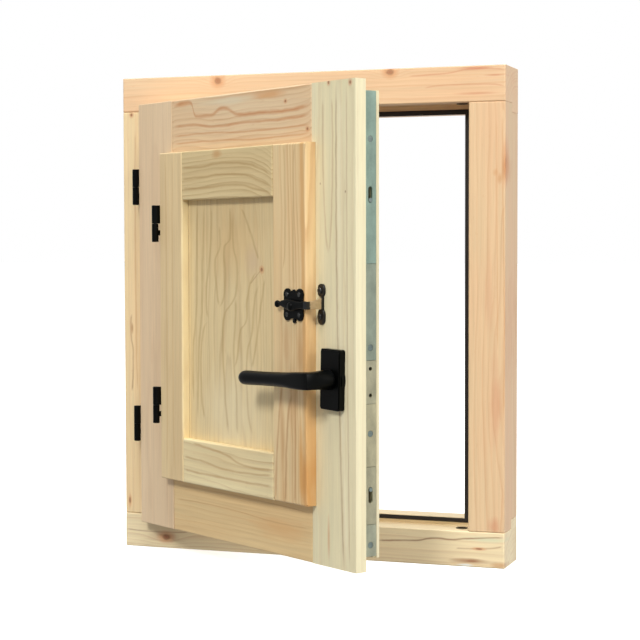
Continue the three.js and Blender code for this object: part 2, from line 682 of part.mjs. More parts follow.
function buildShutterTimber(shutter) {
  const y = [-SHUTTER_T, -GAP];
  const innerLeft = SHUTTER_LEFT + SHUTTER_LEFT_STILE;
  const innerRight = SHUTTER_RIGHT - SHUTTER_RIGHT_STILE;
  const innerTop = SHUTTER_TOP - SHUTTER_TOP_RAIL;
  const innerBottom = SHUTTER_BOTTOM + SHUTTER_BOTTOM_RAIL;

  // The panel lies in a rebate cut in the back of the four members.
  const panelX = [LIGHT_LEFT + 3, LIGHT_RIGHT - 3];
  const panelZ = [LIGHT_BOTTOM + 3, LIGHT_TOP - 3];
  const panelFront = -SHUTTER_T + PANEL_RECESS;
  const rebate = box(
    [panelX[0] - GAP, panelX[1] + GAP],
    [panelFront - GAP, 1],
    [panelZ[0] - GAP, panelZ[1] + GAP],
  );

  const stubY = [-SHUTTER_T + 3, panelFront - 2 * GAP - 1];
  const stub = (x, z) => box(x, stubY, z);
  const slot = (x, z) => box(x, [stubY[0] - GAP, stubY[1] + GAP], [z[0] - GAP, z[1] + GAP]);
  const stubZ = [
    [innerTop + 12, SHUTTER_TOP - 12],
    [SHUTTER_BOTTOM + 12, innerBottom - 12],
  ];
  const reach = 20;

  place(shutter, 'shutter_stile_hinge_side', 'shutterPine', cut(
    box([SHUTTER_LEFT, innerLeft], y, [SHUTTER_BOTTOM, SHUTTER_TOP]),
    rebate,
    ...stubZ.map((z) => slot([innerLeft - reach - GAP, innerLeft + 1], z)),
  ));
  place(shutter, 'shutter_stile_latch_side', 'shutterPine', cut(
    box([innerRight, SHUTTER_RIGHT], y, [SHUTTER_BOTTOM, SHUTTER_TOP]),
    rebate,
    ...stubZ.map((z) => slot([innerRight - 1, innerRight + reach + GAP], z)),
    round('y', 3.6, -SHUTTER_T - 1, -SHUTTER_T + 9, [LATCH_X, LATCH_Z], 16),
    ...latchScrewPlaces().map(([x, z]) => round('y', 1.7, -SHUTTER_T - 1, -SHUTTER_T + 9, [x, z], 12)),
  ));
  const rails = { top: [innerTop, SHUTTER_TOP], bottom: [SHUTTER_BOTTOM, innerBottom] };
  Object.entries(rails).forEach(([name, z], i) => {
    place(shutter, `shutter_rail_${name}`, 'shutterPine', union(
      box([innerLeft + GAP, innerRight - GAP], y, z).subtract(rebate),
      stub([innerLeft - reach, innerLeft + 1], stubZ[i]),
      stub([innerRight - 1, innerRight + reach], stubZ[i]),
    ));
  });
  place(shutter, 'shutter_panel', 'shutterPine', box(panelX, [panelFront, panelFront + PANEL_T], panelZ));
}

function latchScrewPlaces() {
  const [dx, dz] = [11.3, 11.2];
  return [[-dx, dz], [dx, dz], [-dx, -dz], [dx, -dz]].map(([x, z]) => [LATCH_X + x, LATCH_Z + z]);
}

function keeperScrewHeights() {
  return [LATCH_Z + 15.8, LATCH_Z - 12.8];
}

function buildLatch(shutter, latch, leaf) {
  const face = -SHUTTER_T - GAP;
  const ears = latchScrewPlaces().map(([x, z]) => round('y', 6.6, face - LATCH_PLATE_T, face, [x, z], 16));
  const plate = (x, z) => box(
    [LATCH_X + x[0], LATCH_X + x[1]],
    [face - LATCH_PLATE_T, face],
    [LATCH_Z + z[0], LATCH_Z + z[1]],
  );
  const cusp = (x, z, r) => round('y', r, face - LATCH_PLATE_T, face, [LATCH_X + x, LATCH_Z + z], 12);
  place(shutter, 'latch_plate', 'blackPaint', cut(
    union(
      plate([-17.2, 17.2], [-11, 11]),
      plate([-11, 11], [-15.4, 15.4]),
      ...ears,
      cusp(0.4, 14.6, 2.2),
      cusp(1.6, -17.8, 2.6),
    ),
    round('y', 3.6, face - 10, 0, [LATCH_X, LATCH_Z], 16),
    ...latchScrewPlaces().map(([x, z]) => round('y', 1.7, face - 10, 0, [x, z], 12)),
  ));
  const names = ['upper_left', 'upper_right', 'lower_left', 'lower_right'];
  latchScrewPlaces().forEach(([x, z], i) => {
    place(shutter, `latch_screw_${names[i]}`, 'blackPaint', turnedOut([
      [0, -7.5], [0.6, -7.5], [1.4, -5.5], [1.4, LATCH_PLATE_T + 2 * GAP],
      [2.9, LATCH_PLATE_T + 2 * GAP], [2.4, LATCH_PLATE_T + 1], [0, LATCH_PLATE_T + 1.2],
    ], [x, -SHUTTER_T, z], 12));
  });

  // The bar turns on its own spindle: a thumb knob on one arm, the tongue on the other.
  const barFront = LATCH_PLATE_T + 5 * GAP;
  const knob = new THREE.SphereGeometry(3.9, 16, 12);
  knob.scale(1, 0.75, 0.95);
  knob.translate(-24, -barFront - LATCH_BAR_T / 2, 0.4);
  const leafShape = new THREE.Shape();
  leafShape.moveTo(-23, -1.6);
  leafShape.lineTo(-23, 1.8);
  leafShape.quadraticCurveTo(-12, 5.4, 0, 4.4);
  leafShape.quadraticCurveTo(12, 2.6, 22, 4.3);
  leafShape.lineTo(30, 4.1);
  leafShape.quadraticCurveTo(32.4, 3.6, 32.4, 0);
  leafShape.quadraticCurveTo(32.4, -4, 29, -4.3);
  leafShape.lineTo(20, -4.3);
  leafShape.quadraticCurveTo(12, -3.4, 7, -5.4);
  leafShape.quadraticCurveTo(0, -7.6, -7, -5.2);
  leafShape.quadraticCurveTo(-14, -2, -23, -1.6);
  place(latch, 'latch_bar', 'blackPaint', union(
    outlined(leafShape, -barFront, LATCH_BAR_T, 8),
    toSolid(knob),
    turnedOut([
      [0, -8.2], [3.2, -8.2], [3.2, barFront], [5.8, barFront], [5.8, barFront + 4.8],
      [4.4, barFront + 6.4], [2.4, barFront + 7.2], [0, barFront + 7.4],
    ], [0, 0, 0], SEGMENTS),
  ));

  // Keeper: a base with two ears, a strap that stands out of it and a lip over the tongue.
  const baseZ = LATCH_Z + 0.6;
  const strap = [KEEPER_X + 3.2, KEEPER_X + 5];
  const screws = keeperScrewHeights();
  const reach = KEEPER_REACH + 1.6;
  const side = new THREE.Shape();
  side.moveTo(GAP, -5.4);
  side.lineTo(reach, -4.6);
  side.lineTo(reach, 4);
  side.quadraticCurveTo(8, 5, GAP, 10.6);
  const strapSolid = new THREE.ExtrudeGeometry(side, {
    depth: strap[1] - strap[0], bevelEnabled: false, curveSegments: 6,
  });
  strapSolid.applyMatrix4(new THREE.Matrix4().makeBasis(
    new THREE.Vector3(0, -1, 0), new THREE.Vector3(0, 0, 1), new THREE.Vector3(-1, 0, 0),
  ).setPosition(strap[1], 0, baseZ));
  place(leaf, 'latch_keeper', 'blackPaint', cut(
    union(
      outlined(roundedRectangle(13.8, 17.2, 6, KEEPER_X, screws[0]), -GAP, 1.8),
      outlined(roundedRectangle(13.8, 18.4, 6, KEEPER_X, screws[1]), -GAP, 1.8),
      box([KEEPER_X - 2, KEEPER_X + 5], [-GAP - 1.8, -GAP], [baseZ - 8, baseZ + 9]),
      toSolid(strapSolid),
      box([KEEPER_X - 1.4, strap[1]], [-reach, -KEEPER_REACH], [baseZ - 4.6, baseZ + 4]),
    ),
    ...screws.map((z) => round('y', 2.1, -10, 5, [KEEPER_X - 0.4, z], 12)),
  ));
  screws.forEach((z, i) => {
    place(leaf, `keeper_screw_${i === 0 ? 'upper' : 'lower'}`, 'blackPaint', turnedOut([
      [0, -12], [0.6, -12], [1.7, -9], [1.7, 2.4], [3.6, 2.4], [3.2, 3.4], [0, 3.9],
    ], [KEEPER_X - 0.4, 0, z], 12));
  });
}

// ------------------------------------------------------------------ assembly

function group(parent, x = 0, y = 0, z = 0) {
  const child = new THREE.Group();
  child.position.set(x, y, z);
  parent.add(child);
  return child;
}

const windowUnit = new THREE.Group();
buildFrame(windowUnit);

const sash = group(windowUnit, SASH_AXIS_X, SASH_AXIS_Y, 0);
sash.rotation.z = THREE.MathUtils.degToRad(-OPEN_ANGLE);
const leaf = group(sash, AXIS_TO_EDGE, SASH_AXIS_TO_FACE, 0);
const shutter = group(leaf);
const rosette = group(leaf, SPINDLE_X, 0, SPINDLE_Z);
rosette.rotation.y = THREE.MathUtils.degToRad(ROSETTE_TILT);
const handle = group(leaf, SPINDLE_X, 0, SPINDLE_Z);
handle.rotation.y = THREE.MathUtils.degToRad(-LEVER_DROOP);
const latch = group(shutter, LATCH_X, -SHUTTER_T, LATCH_Z);

buildSashTimber(leaf);
buildGlazing(leaf);
buildHinges(leaf, shutter);
buildFaceplates(leaf);
buildGearbox(leaf, handle);
buildRods(group(leaf), group(leaf));
buildRosette(rosette);
buildLever(handle);
buildShutterTimber(shutter);
buildLatch(shutter, latch, leaf);

export default windowUnit;
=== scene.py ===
"""Looks for a small pine window: box frame, open sash, inner shutter, latch and lever handle."""

import json
import math

import bpy
from mathutils import Euler, Matrix, Vector


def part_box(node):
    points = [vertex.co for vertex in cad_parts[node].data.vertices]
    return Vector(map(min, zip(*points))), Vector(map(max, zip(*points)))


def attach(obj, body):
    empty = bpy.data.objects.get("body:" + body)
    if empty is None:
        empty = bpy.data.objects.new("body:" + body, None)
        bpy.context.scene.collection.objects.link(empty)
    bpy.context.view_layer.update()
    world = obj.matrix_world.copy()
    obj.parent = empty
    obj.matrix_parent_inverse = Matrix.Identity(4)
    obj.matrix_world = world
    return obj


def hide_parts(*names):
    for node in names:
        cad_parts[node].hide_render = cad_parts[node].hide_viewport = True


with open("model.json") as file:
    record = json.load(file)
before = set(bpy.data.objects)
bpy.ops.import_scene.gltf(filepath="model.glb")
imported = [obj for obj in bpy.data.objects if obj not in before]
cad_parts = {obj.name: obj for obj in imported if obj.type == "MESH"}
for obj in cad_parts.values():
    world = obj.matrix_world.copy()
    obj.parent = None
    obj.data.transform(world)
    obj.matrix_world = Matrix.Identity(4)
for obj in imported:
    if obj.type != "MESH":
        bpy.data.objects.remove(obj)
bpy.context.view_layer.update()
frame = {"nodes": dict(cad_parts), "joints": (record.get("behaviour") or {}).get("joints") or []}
NODES = frame["nodes"]
JOINTS = {joint["name"]: joint for joint in frame["joints"]}
MM = 0.001

# ------------------------------------------------------------ the two frames

OPEN_ANGLE = math.radians(33.05)
SASH_AXIS = Vector(JOINTS["sash_swing"]["pos_m"]) / MM
AXIS_TO_EDGE = 4.9  # from the sash's axis to its hinge edge and to its room face, in mm
AXIS_TO_FACE = 2.0

ROW_MM = Matrix.Scale(1 / MM, 4)
SASH_MM = (  # row metres to the sash's own mm, measured from its hinge edge and room face
    Matrix.Translation((-AXIS_TO_EDGE, -AXIS_TO_FACE, 0))
    @ Matrix.Rotation(OPEN_ANGLE, 4, "Z")
    @ Matrix.Translation((-SASH_AXIS.x, -SASH_AXIS.y, 0))
    @ ROW_MM
)
SASH_TO_ROW = SASH_MM.inverted()

FRAME_FACE = -32.0  # y of each room face: the frame's in row mm, the others in sash mm
SASH_FACE = 0.0
SHUTTER_FACE = -14.0
PANEL_FACE = -4.0


# ------------------------------------------------------------ node helpers


class Tree:
    """Short names for building one material's nodes."""

    def __init__(self, name):
        self.material = bpy.data.materials.new(name)
        self.material.use_nodes = True
        self.nodes = self.material.node_tree.nodes
        self.links = self.material.node_tree.links
        self.nodes.clear()
        self.shader = self.nodes.new("ShaderNodeBsdfPrincipled")
        output = self.nodes.new("ShaderNodeOutputMaterial")
        self.links.new(self.shader.outputs[0], output.inputs["Surface"])

    def put(self, socket, value):
        if isinstance(value, bpy.types.NodeSocket):
            self.links.new(value, socket)
        elif value is not None:
            socket.default_value = value

    def surface(self, name, value):
        self.put(self.shader.inputs[name], value)

    def math(self, operation, a, b=None, c=None, clamp=False):
        node = self.nodes.new("ShaderNodeMath")
        node.operation = operation
        node.use_clamp = clamp
        for socket, value in zip(node.inputs, (a, b, c)):
            self.put(socket, value)
        return node.outputs[0]

    def vector(self, operation, a, b=None, out=0):
        node = self.nodes.new("ShaderNodeVectorMath")
        node.operation = operation
        self.put(node.inputs[0], a)
        self.put(node.inputs[1], b)
        return node.outputs[out]

    def noise(self, vector, detail=2.0, roughness=0.5):
        """Noise 0..1 with features one unit of the vector across."""
        node = self.nodes.new("ShaderNodeTexNoise")
        self.put(node.inputs["Vector"], vector)
        self.put(node.inputs["Scale"], 1.0)
        self.put(node.inputs["Detail"], detail)
        self.put(node.inputs["Roughness"], roughness)
        return node.outputs[0]

    def divided(self, vector, sizes):
        """A vector in units of the three sizes, or of one size for all."""
        sizes = sizes if isinstance(sizes, tuple) else (sizes,) * 3
        return self.vector("MULTIPLY", vector, tuple(1 / size for size in sizes))

    def split(self, vector):
        node = self.nodes.new("ShaderNodeSeparateXYZ")
        self.put(node.inputs[0], vector)
        return node.outputs

    def centred(self, value, amount):
        """A value 0..1 turned into one of that amount, half each side of zero."""
        return self.math("MULTIPLY", self.math("SUBTRACT", value, 0.5), amount)

    def ramp(self, value, stops):
        node = self.nodes.new("ShaderNodeValToRGB")
        elements = node.color_ramp.elements
        while len(elements) < len(stops):
            elements.new(0.5)
        for element, (place, tone) in zip(elements, stops):
            element.position = place
            element.color = (*tone, 1) if isinstance(tone, tuple) else (tone, tone, tone, 1)
        self.put(node.inputs[0], value)
        return node.outputs[0]

    def mix(self, factor, a, b, blend="MIX"):
        node = self.nodes.new("ShaderNodeMix")
        node.data_type = "RGBA"
        node.blend_type = blend
        node.clamp_factor = True
        self.put(node.inputs[0], factor)
        self.put(node.inputs[6], (*a, 1) if isinstance(a, tuple) and len(a) == 3 else a)
        self.put(node.inputs[7], (*b, 1) if isinstance(b, tuple) and len(b) == 3 else b)
        return node.outputs[2]

    def mapped(self, transform):
        """Object coordinates, which are the row frame in metres, taken through a matrix."""
        source = self.nodes.new("ShaderNodeTexCoord").outputs["Object"]
        node = self.nodes.new("ShaderNodeMapping")
        place, turn, size = transform.decompose()
        node.inputs["Location"].default_value = place
        node.inputs["Rotation"].default_value = turn.to_euler("XYZ")
        node.inputs["Scale"].default_value = size
        self.put(node.inputs["Vector"], source)
        return node.outputs[0]

    def curve(self, value, points):
        """A smooth curve through (value, result) points, level beyond its ends."""
        (x0, x1), (y0, y1) = ((min(axis), max(axis)) for axis in zip(*points))
        span = max(y1 - y0, 1e-6)
        node = self.nodes.new("ShaderNodeFloatCurve")
        places = [((x - x0) / (x1 - x0), (y - y0) / span) for x, y in sorted(points)]
        knots = node.mapping.curves[0].points
        knots[0].location, knots[1].location = places[0], places[-1]
        for place in places[1:-1]:
            knots.new(*place)
        node.mapping.update()
        along = self.math("SUBTRACT", value, x0)
        along = self.math("MULTIPLY", along, 1 / (x1 - x0), clamp=True)
        self.put(node.inputs["Value"], along)
        return self.math("MULTIPLY_ADD", node.outputs[0], span, y0)

    def bump(self, height, strength, distance):
        """Relief that stands distance mm high at a height of 1."""
        node = self.nodes.new("ShaderNodeBump")
        node.inputs["Strength"].default_value = strength
        node.inputs["Distance"].default_value = distance * MM
        self.put(node.inputs["Height"], height)
        self.surface("Normal", node.outputs[0])


def srgb(r, g, b):
    """A colour given in display values 0..255."""

    def linear(value):
        value /= 255
        return value / 12.92 if value <= 0.04045 else ((value + 0.055) / 1.055) ** 2.4

    return (linear(r), linear(g), linear(b))


# ------------------------------------------------------------ pine

UPRIGHT = Matrix.Identity(4)
LEVEL = Matrix.Rotation(math.radians(-90), 4, "Y")  # grain along X: (x, y, z) -> (-z, y, x)

SEED_STEP = (131.7, 57.3, 911.1)  # how far one unit of seed moves the noise, in mm
YEAR_TONES = [  # how dark the wood is through one ring
    (0.0, 0.32), (0.07, 0.0), (0.42, 0.05), (0.74, 0.5), (0.9, 1.0), (0.97, 0.85), (1.0, 0.32),
]
KNOT_RIM = srgb(212, 140, 88)
KNOT_CORE = [
    (0.0, srgb(120, 70, 48)), (0.35, srgb(160, 100, 68)), (0.62, srgb(128, 76, 50)),
    (0.86, srgb(92, 52, 36)), (1.0, srgb(78, 44, 32)),
]
PATCH_DEPTH = 40  # how far a tone patch reaches into the wood, in mm
LINE_STRENGTH = 0.78


class Wood(Tree):
    """A board's material, laid out in mm from its pith, with the grain along Z."""

    def __init__(self, name, space, lie, pith, tilt, seed, face):
        super().__init__(name)
        self.space, self.lie, self.face = space, lie, face
        board = lie @ space
        lean = Euler((math.radians(tilt[0]), math.radians(tilt[1]), 0)).to_matrix().to_4x4()
        self.to_pith = lean @ Matrix.Translation((-pith[0], -pith[1], 0)) @ board
        self.place = self.mapped(self.to_pith)
        self.seeded = self.vector("ADD", self.place, tuple(seed * step for step in SEED_STEP))
        plain = self.split(self.mapped(board))
        self.across, self.along = plain["X"], plain["Z"]

    def grain(self, across, along, detail=2.0, roughness=0.5):
        """Noise with features so many mm across the grain and along it."""
        return self.noise(self.divided(self.seeded, (across, across, along)), detail, roughness)

    def offset(self, x, z):
        """The way from (x, z) on the room face."""
        at = self.to_pith @ (self.space.inverted() @ Vector((x, self.face, z)))
        return self.vector("SUBTRACT", self.place, tuple(at))

    def reach(self, offset, sizes):
        """Distance from the middle of an egg with these half sizes: 1 at its skin."""
        return self.vector("LENGTH", self.divided(offset, sizes), out=1)

    def depth(self, ring, wander, bend):
        """Distance from the pith, wavering at three sizes. Only level boards are bent."""
        bent = self.place
        if bend:
            sideways = self.nodes.new("ShaderNodeCombineXYZ")
            self.put(sideways.inputs["X"], self.curve(self.along, bend))
            bent = self.vector("ADD", self.place, sideways.outputs[0])
        radius = self.vector("LENGTH", self.vector("MULTIPLY", bent, (1, 1, 0)), out=1)
        slow = self.centred(self.grain(62, 330, detail=1.5), wander * 2)
        medium = self.centred(self.grain(17, 95), ring * 0.9)
        quick = self.centred(self.grain(5, 30), ring * 0.16)
        return self.math("ADD", self.math("ADD", radius, slow), self.math("ADD", medium, quick))

    def knot(self, depth, x, z, size, stretch):
        """Bends the rings round one knot. Gives the new depth and the distance from the knot."""
        offset = self.offset(x, z)
        near = self.reach(offset, (size * 2.1, size * 6, size * 3.4 * stretch))
        falling = self.math("MULTIPLY", self.math("MULTIPLY", near, near), -1.0)
        swell = self.math("MULTIPLY", self.math("EXPONENT", falling), size * 1.7)
        wobble = self.centred(self.noise(self.divided(self.seeded, size)), 0.35)
        close = self.reach(offset, (size, size * 3, size * stretch))
        return self.math("ADD", depth, swell), self.math("ADD", close, wobble)

    def rings(self, depth, ring, contrast):
        """How much latewood shows: rings of uneven width and strength, fading in places."""
        uneven = self.noise(self.math("MULTIPLY", depth, 1 / (ring * 6)), detail=1)
        uneven = self.math("ADD", depth, self.centred(uneven, ring * 3.2))
        years = self.math("DIVIDE", uneven, ring)
        white = self.nodes.new("ShaderNodeTexWhiteNoise")
        white.noise_dimensions = "1D"
        self.put(white.inputs["W"], self.math("FLOOR", years))
        latewood = self.ramp(self.math("FRACT", years), YEAR_TONES)
        strength = self.math("MULTIPLY_ADD", white.outputs[0], 0.75, 0.35)
        fade = self.math("MULTIPLY_ADD", self.grain(26, 150), 1.5, -0.1, clamp=True)
        fade = self.math("MULTIPLY", fade, contrast * 0.7)
        return self.math("MULTIPLY", self.math("MULTIPLY", latewood, strength), fade)

    def shaded(self, colour, fibre):
        """A colour darkened along the fibres and in coarser bands."""
        shade = self.math("MULTIPLY_ADD", fibre, 0.2, 0.9)
        coarse = self.grain(3.6, 130, detail=3, roughness=0.55)
        shade = self.math("MULTIPLY", shade, self.math("MULTIPLY_ADD", coarse, 0.22, 0.89))
        grey = self.nodes.new("ShaderNodeCombineColor")
        for socket in grey.inputs:
            self.put(socket, shade)
        return self.mix(1.0, colour, grey.outputs[0], "MULTIPLY")

    def specks(self, colour, tone):
        """Short dark resin canals."""
        canals = self.ramp(self.grain(0.7, 9, detail=1), [(0.7, 0.0), (0.78, 0.5)])
        return self.mix(self.math("MULTIPLY", canals, 0.5), colour, tone)

    def tone_patch(self, colour, x, z, half_x, half_z, tone, amount):
        """A frayed patch of another tone, for streaks in the wood and for painted highlights and
        painted side light.
        """
        half = self.lie @ Vector((half_x, 0, half_z))
        fray = self.centred(self.grain(9, 40, detail=3), 1.0)
        reach = self.reach(self.offset(x, z), (abs(half.x), PATCH_DEPTH, abs(half.z)))
        mask = self.ramp(self.math("ADD", reach, fray), [(0.25, 1.0), (0.95, 0.0)])
        return self.mix(self.math("MULTIPLY", mask, amount), colour, srgb(*tone))

    def line(self, colour, points, half, tone, amount):
        """One grain line through points on the face, uneven in width and strength."""
        run = [(x, -z) if self.lie is LEVEL else (z, x) for x, z in points]
        waver = self.centred(self.grain(7, 22), half * 2.2)
        wavering = self.math("ADD", self.across, waver)
        gap = self.math("SUBTRACT", wavering, self.curve(self.along, run))
        gap = self.math("DIVIDE", self.math("ABSOLUTE", gap), half * 2)
        mask = self.ramp(gap, [(0.0, 1.0), (0.25, 0.8), (1.0, 0.0)])
        start, end = min(a for a, _ in run), max(a for a, _ in run)
        from_middle = self.math("SUBTRACT", self.along, (start + end) / 2)
        from_middle = self.math("DIVIDE", self.math("ABSOLUTE", from_middle), (end - start) / 2)
        ends = self.ramp(from_middle, [(0.9, 1.0), (1.0, 0.0)])
        weight = self.math("MULTIPLY_ADD", self.grain(12, 26), 0.9, 0.45, clamp=True)
        weight = self.math("MULTIPLY", weight, ends)
        weight = self.math("MULTIPLY", weight, amount * LINE_STRENGTH)
        return self.mix(self.math("MULTIPLY", mask, weight), colour, srgb(*tone))

    def knot_colour(self, colour, distance, strength):
        """A knot's halo and its dark core."""
        halo = self.nodes.new("ShaderNodeMapRange")
        for socket, value in zip(halo.inputs, (distance, 1.0, 2.3, 0.5, 0.0)):
            self.put(socket, value)
        colour = self.mix(halo.outputs[0], colour, KNOT_RIM)
        inner = self.ramp(distance, [(0.5, strength), (1.15, 0.0)])
        return self.mix(inner, colour, self.ramp(distance, KNOT_CORE))


def pine(
    name, space, lie, pale, late, pith, ring, contrast, wander, seed, face=SASH_FACE,
    tilt=(0.0, 0.0), blotch=None, knots=(), streaks_and_painted_light=(), lines=(), bend=(), knot_depth=0.75,
):
    """Growth rings round a pith that runs along the grain, bent round the knots.

    pith is where the pith passes, across the face and into the wood, and ring is the rings'
    spacing, in mm. face is the room face's own y. On that face, in the space's own mm, come
    knots (x, z, radius, stretch), patches of tone (x, z, half width, half height, colour, amount),
    which are streaks in the wood and also painted highlights and painted side light, and lines
    ([(x, z), ...], half width, colour, amount). bend moves a level board's rings across
    its face, as (place along the grain, shift). knot_depth is how strong the knots' cores are.
    Colours are display values 0..255.
    """
    t = Wood(name, space, lie, pith, tilt, seed, face)
    depth = t.depth(ring, wander, bend)
    distances = []
    for knot in knots:
        depth, distance = t.knot(depth, *knot)
        distances.append(distance)
    rings = t.rings(depth, ring, contrast)

    tint = t.math("MULTIPLY_ADD", t.grain(48, 260), 1.7, -0.45, clamp=True)
    pale, late = srgb(*pale), srgb(*late)
    between = tuple(0.6 * a + 0.4 * b for a, b in zip(pale, late))
    ground = t.mix(tint, pale, srgb(*blotch) if blotch else between)
    fibre = t.grain(0.9, 46, detail=4, roughness=0.62)
    colour = t.mix(rings, ground, late)
    colour = t.specks(t.shaded(colour, fibre), late)
    for tone_patch in streaks_and_painted_light:
        colour = t.tone_patch(colour, *tone_patch)
    for line in lines:
        colour = t.line(colour, *line)
    for distance in distances:
        colour = t.knot_colour(colour, distance, knot_depth)

    t.surface("Base Color", colour)
    t.surface("Roughness", t.math("MULTIPLY_ADD", fibre, 0.2, 0.4))
    t.surface("Specular IOR Level", 0.35)
    relief = t.math("ADD", t.math("MULTIPLY", rings, 0.6), t.math("MULTIPLY", fibre, 0.7))
    t.bump(relief, 0.35, 0.12)
    return t.material


PEACH = (232, 203, 165)
PEACH_LATE = (206, 142, 96)
CREAM = (244, 226, 180)
CREAM_LATE = (196, 150, 100)
TAN = (234, 210, 164)
TAN_LATE = (184, 140, 88)
BROWN_LINE = (160, 106, 70)
AMBER = (200, 134, 84)
RED_TINT = (206, 130, 98)
PANEL_LINE = (182, 148, 92)

PANEL_GRAIN = [  # the shutter panel's wandering grain, each line as (x, z) points
    [(140, 435), (139, 389), (139, 347), (133, 284), (129, 254), (130, 197)],
    [(170, 432), (168, 389), (163, 355), (158, 328), (166, 300)],
    [(187, 410), (188, 389), (178, 366), (180, 340), (185, 316)],
    [(209, 432), (209, 396), (197, 384), (199, 348), (185, 314)],
    [(216, 426), (215, 389), (223, 365), (223, 341), (198, 307), (193, 286), (195, 239),
     (204, 164)],
    [(233, 430), (248, 407), (260, 384), (267, 371)],
    [(270, 357), (254, 349), (244, 325), (242, 301), (229, 287), (224, 259), (217, 244)],
    [(164, 296), (146, 255), (146, 226), (153, 179)],
    [(266, 342), (257, 316), (253, 286), (244, 264), (242, 232), (252, 169)],
    [(221, 326), (219, 296), (216, 259), (220, 222), (223, 166)],
    [(155, 435), (151, 370), (149, 313), (141, 255), (139, 178)],
    [(279, 349), (271, 316), (263, 280), (253, 246)],
]

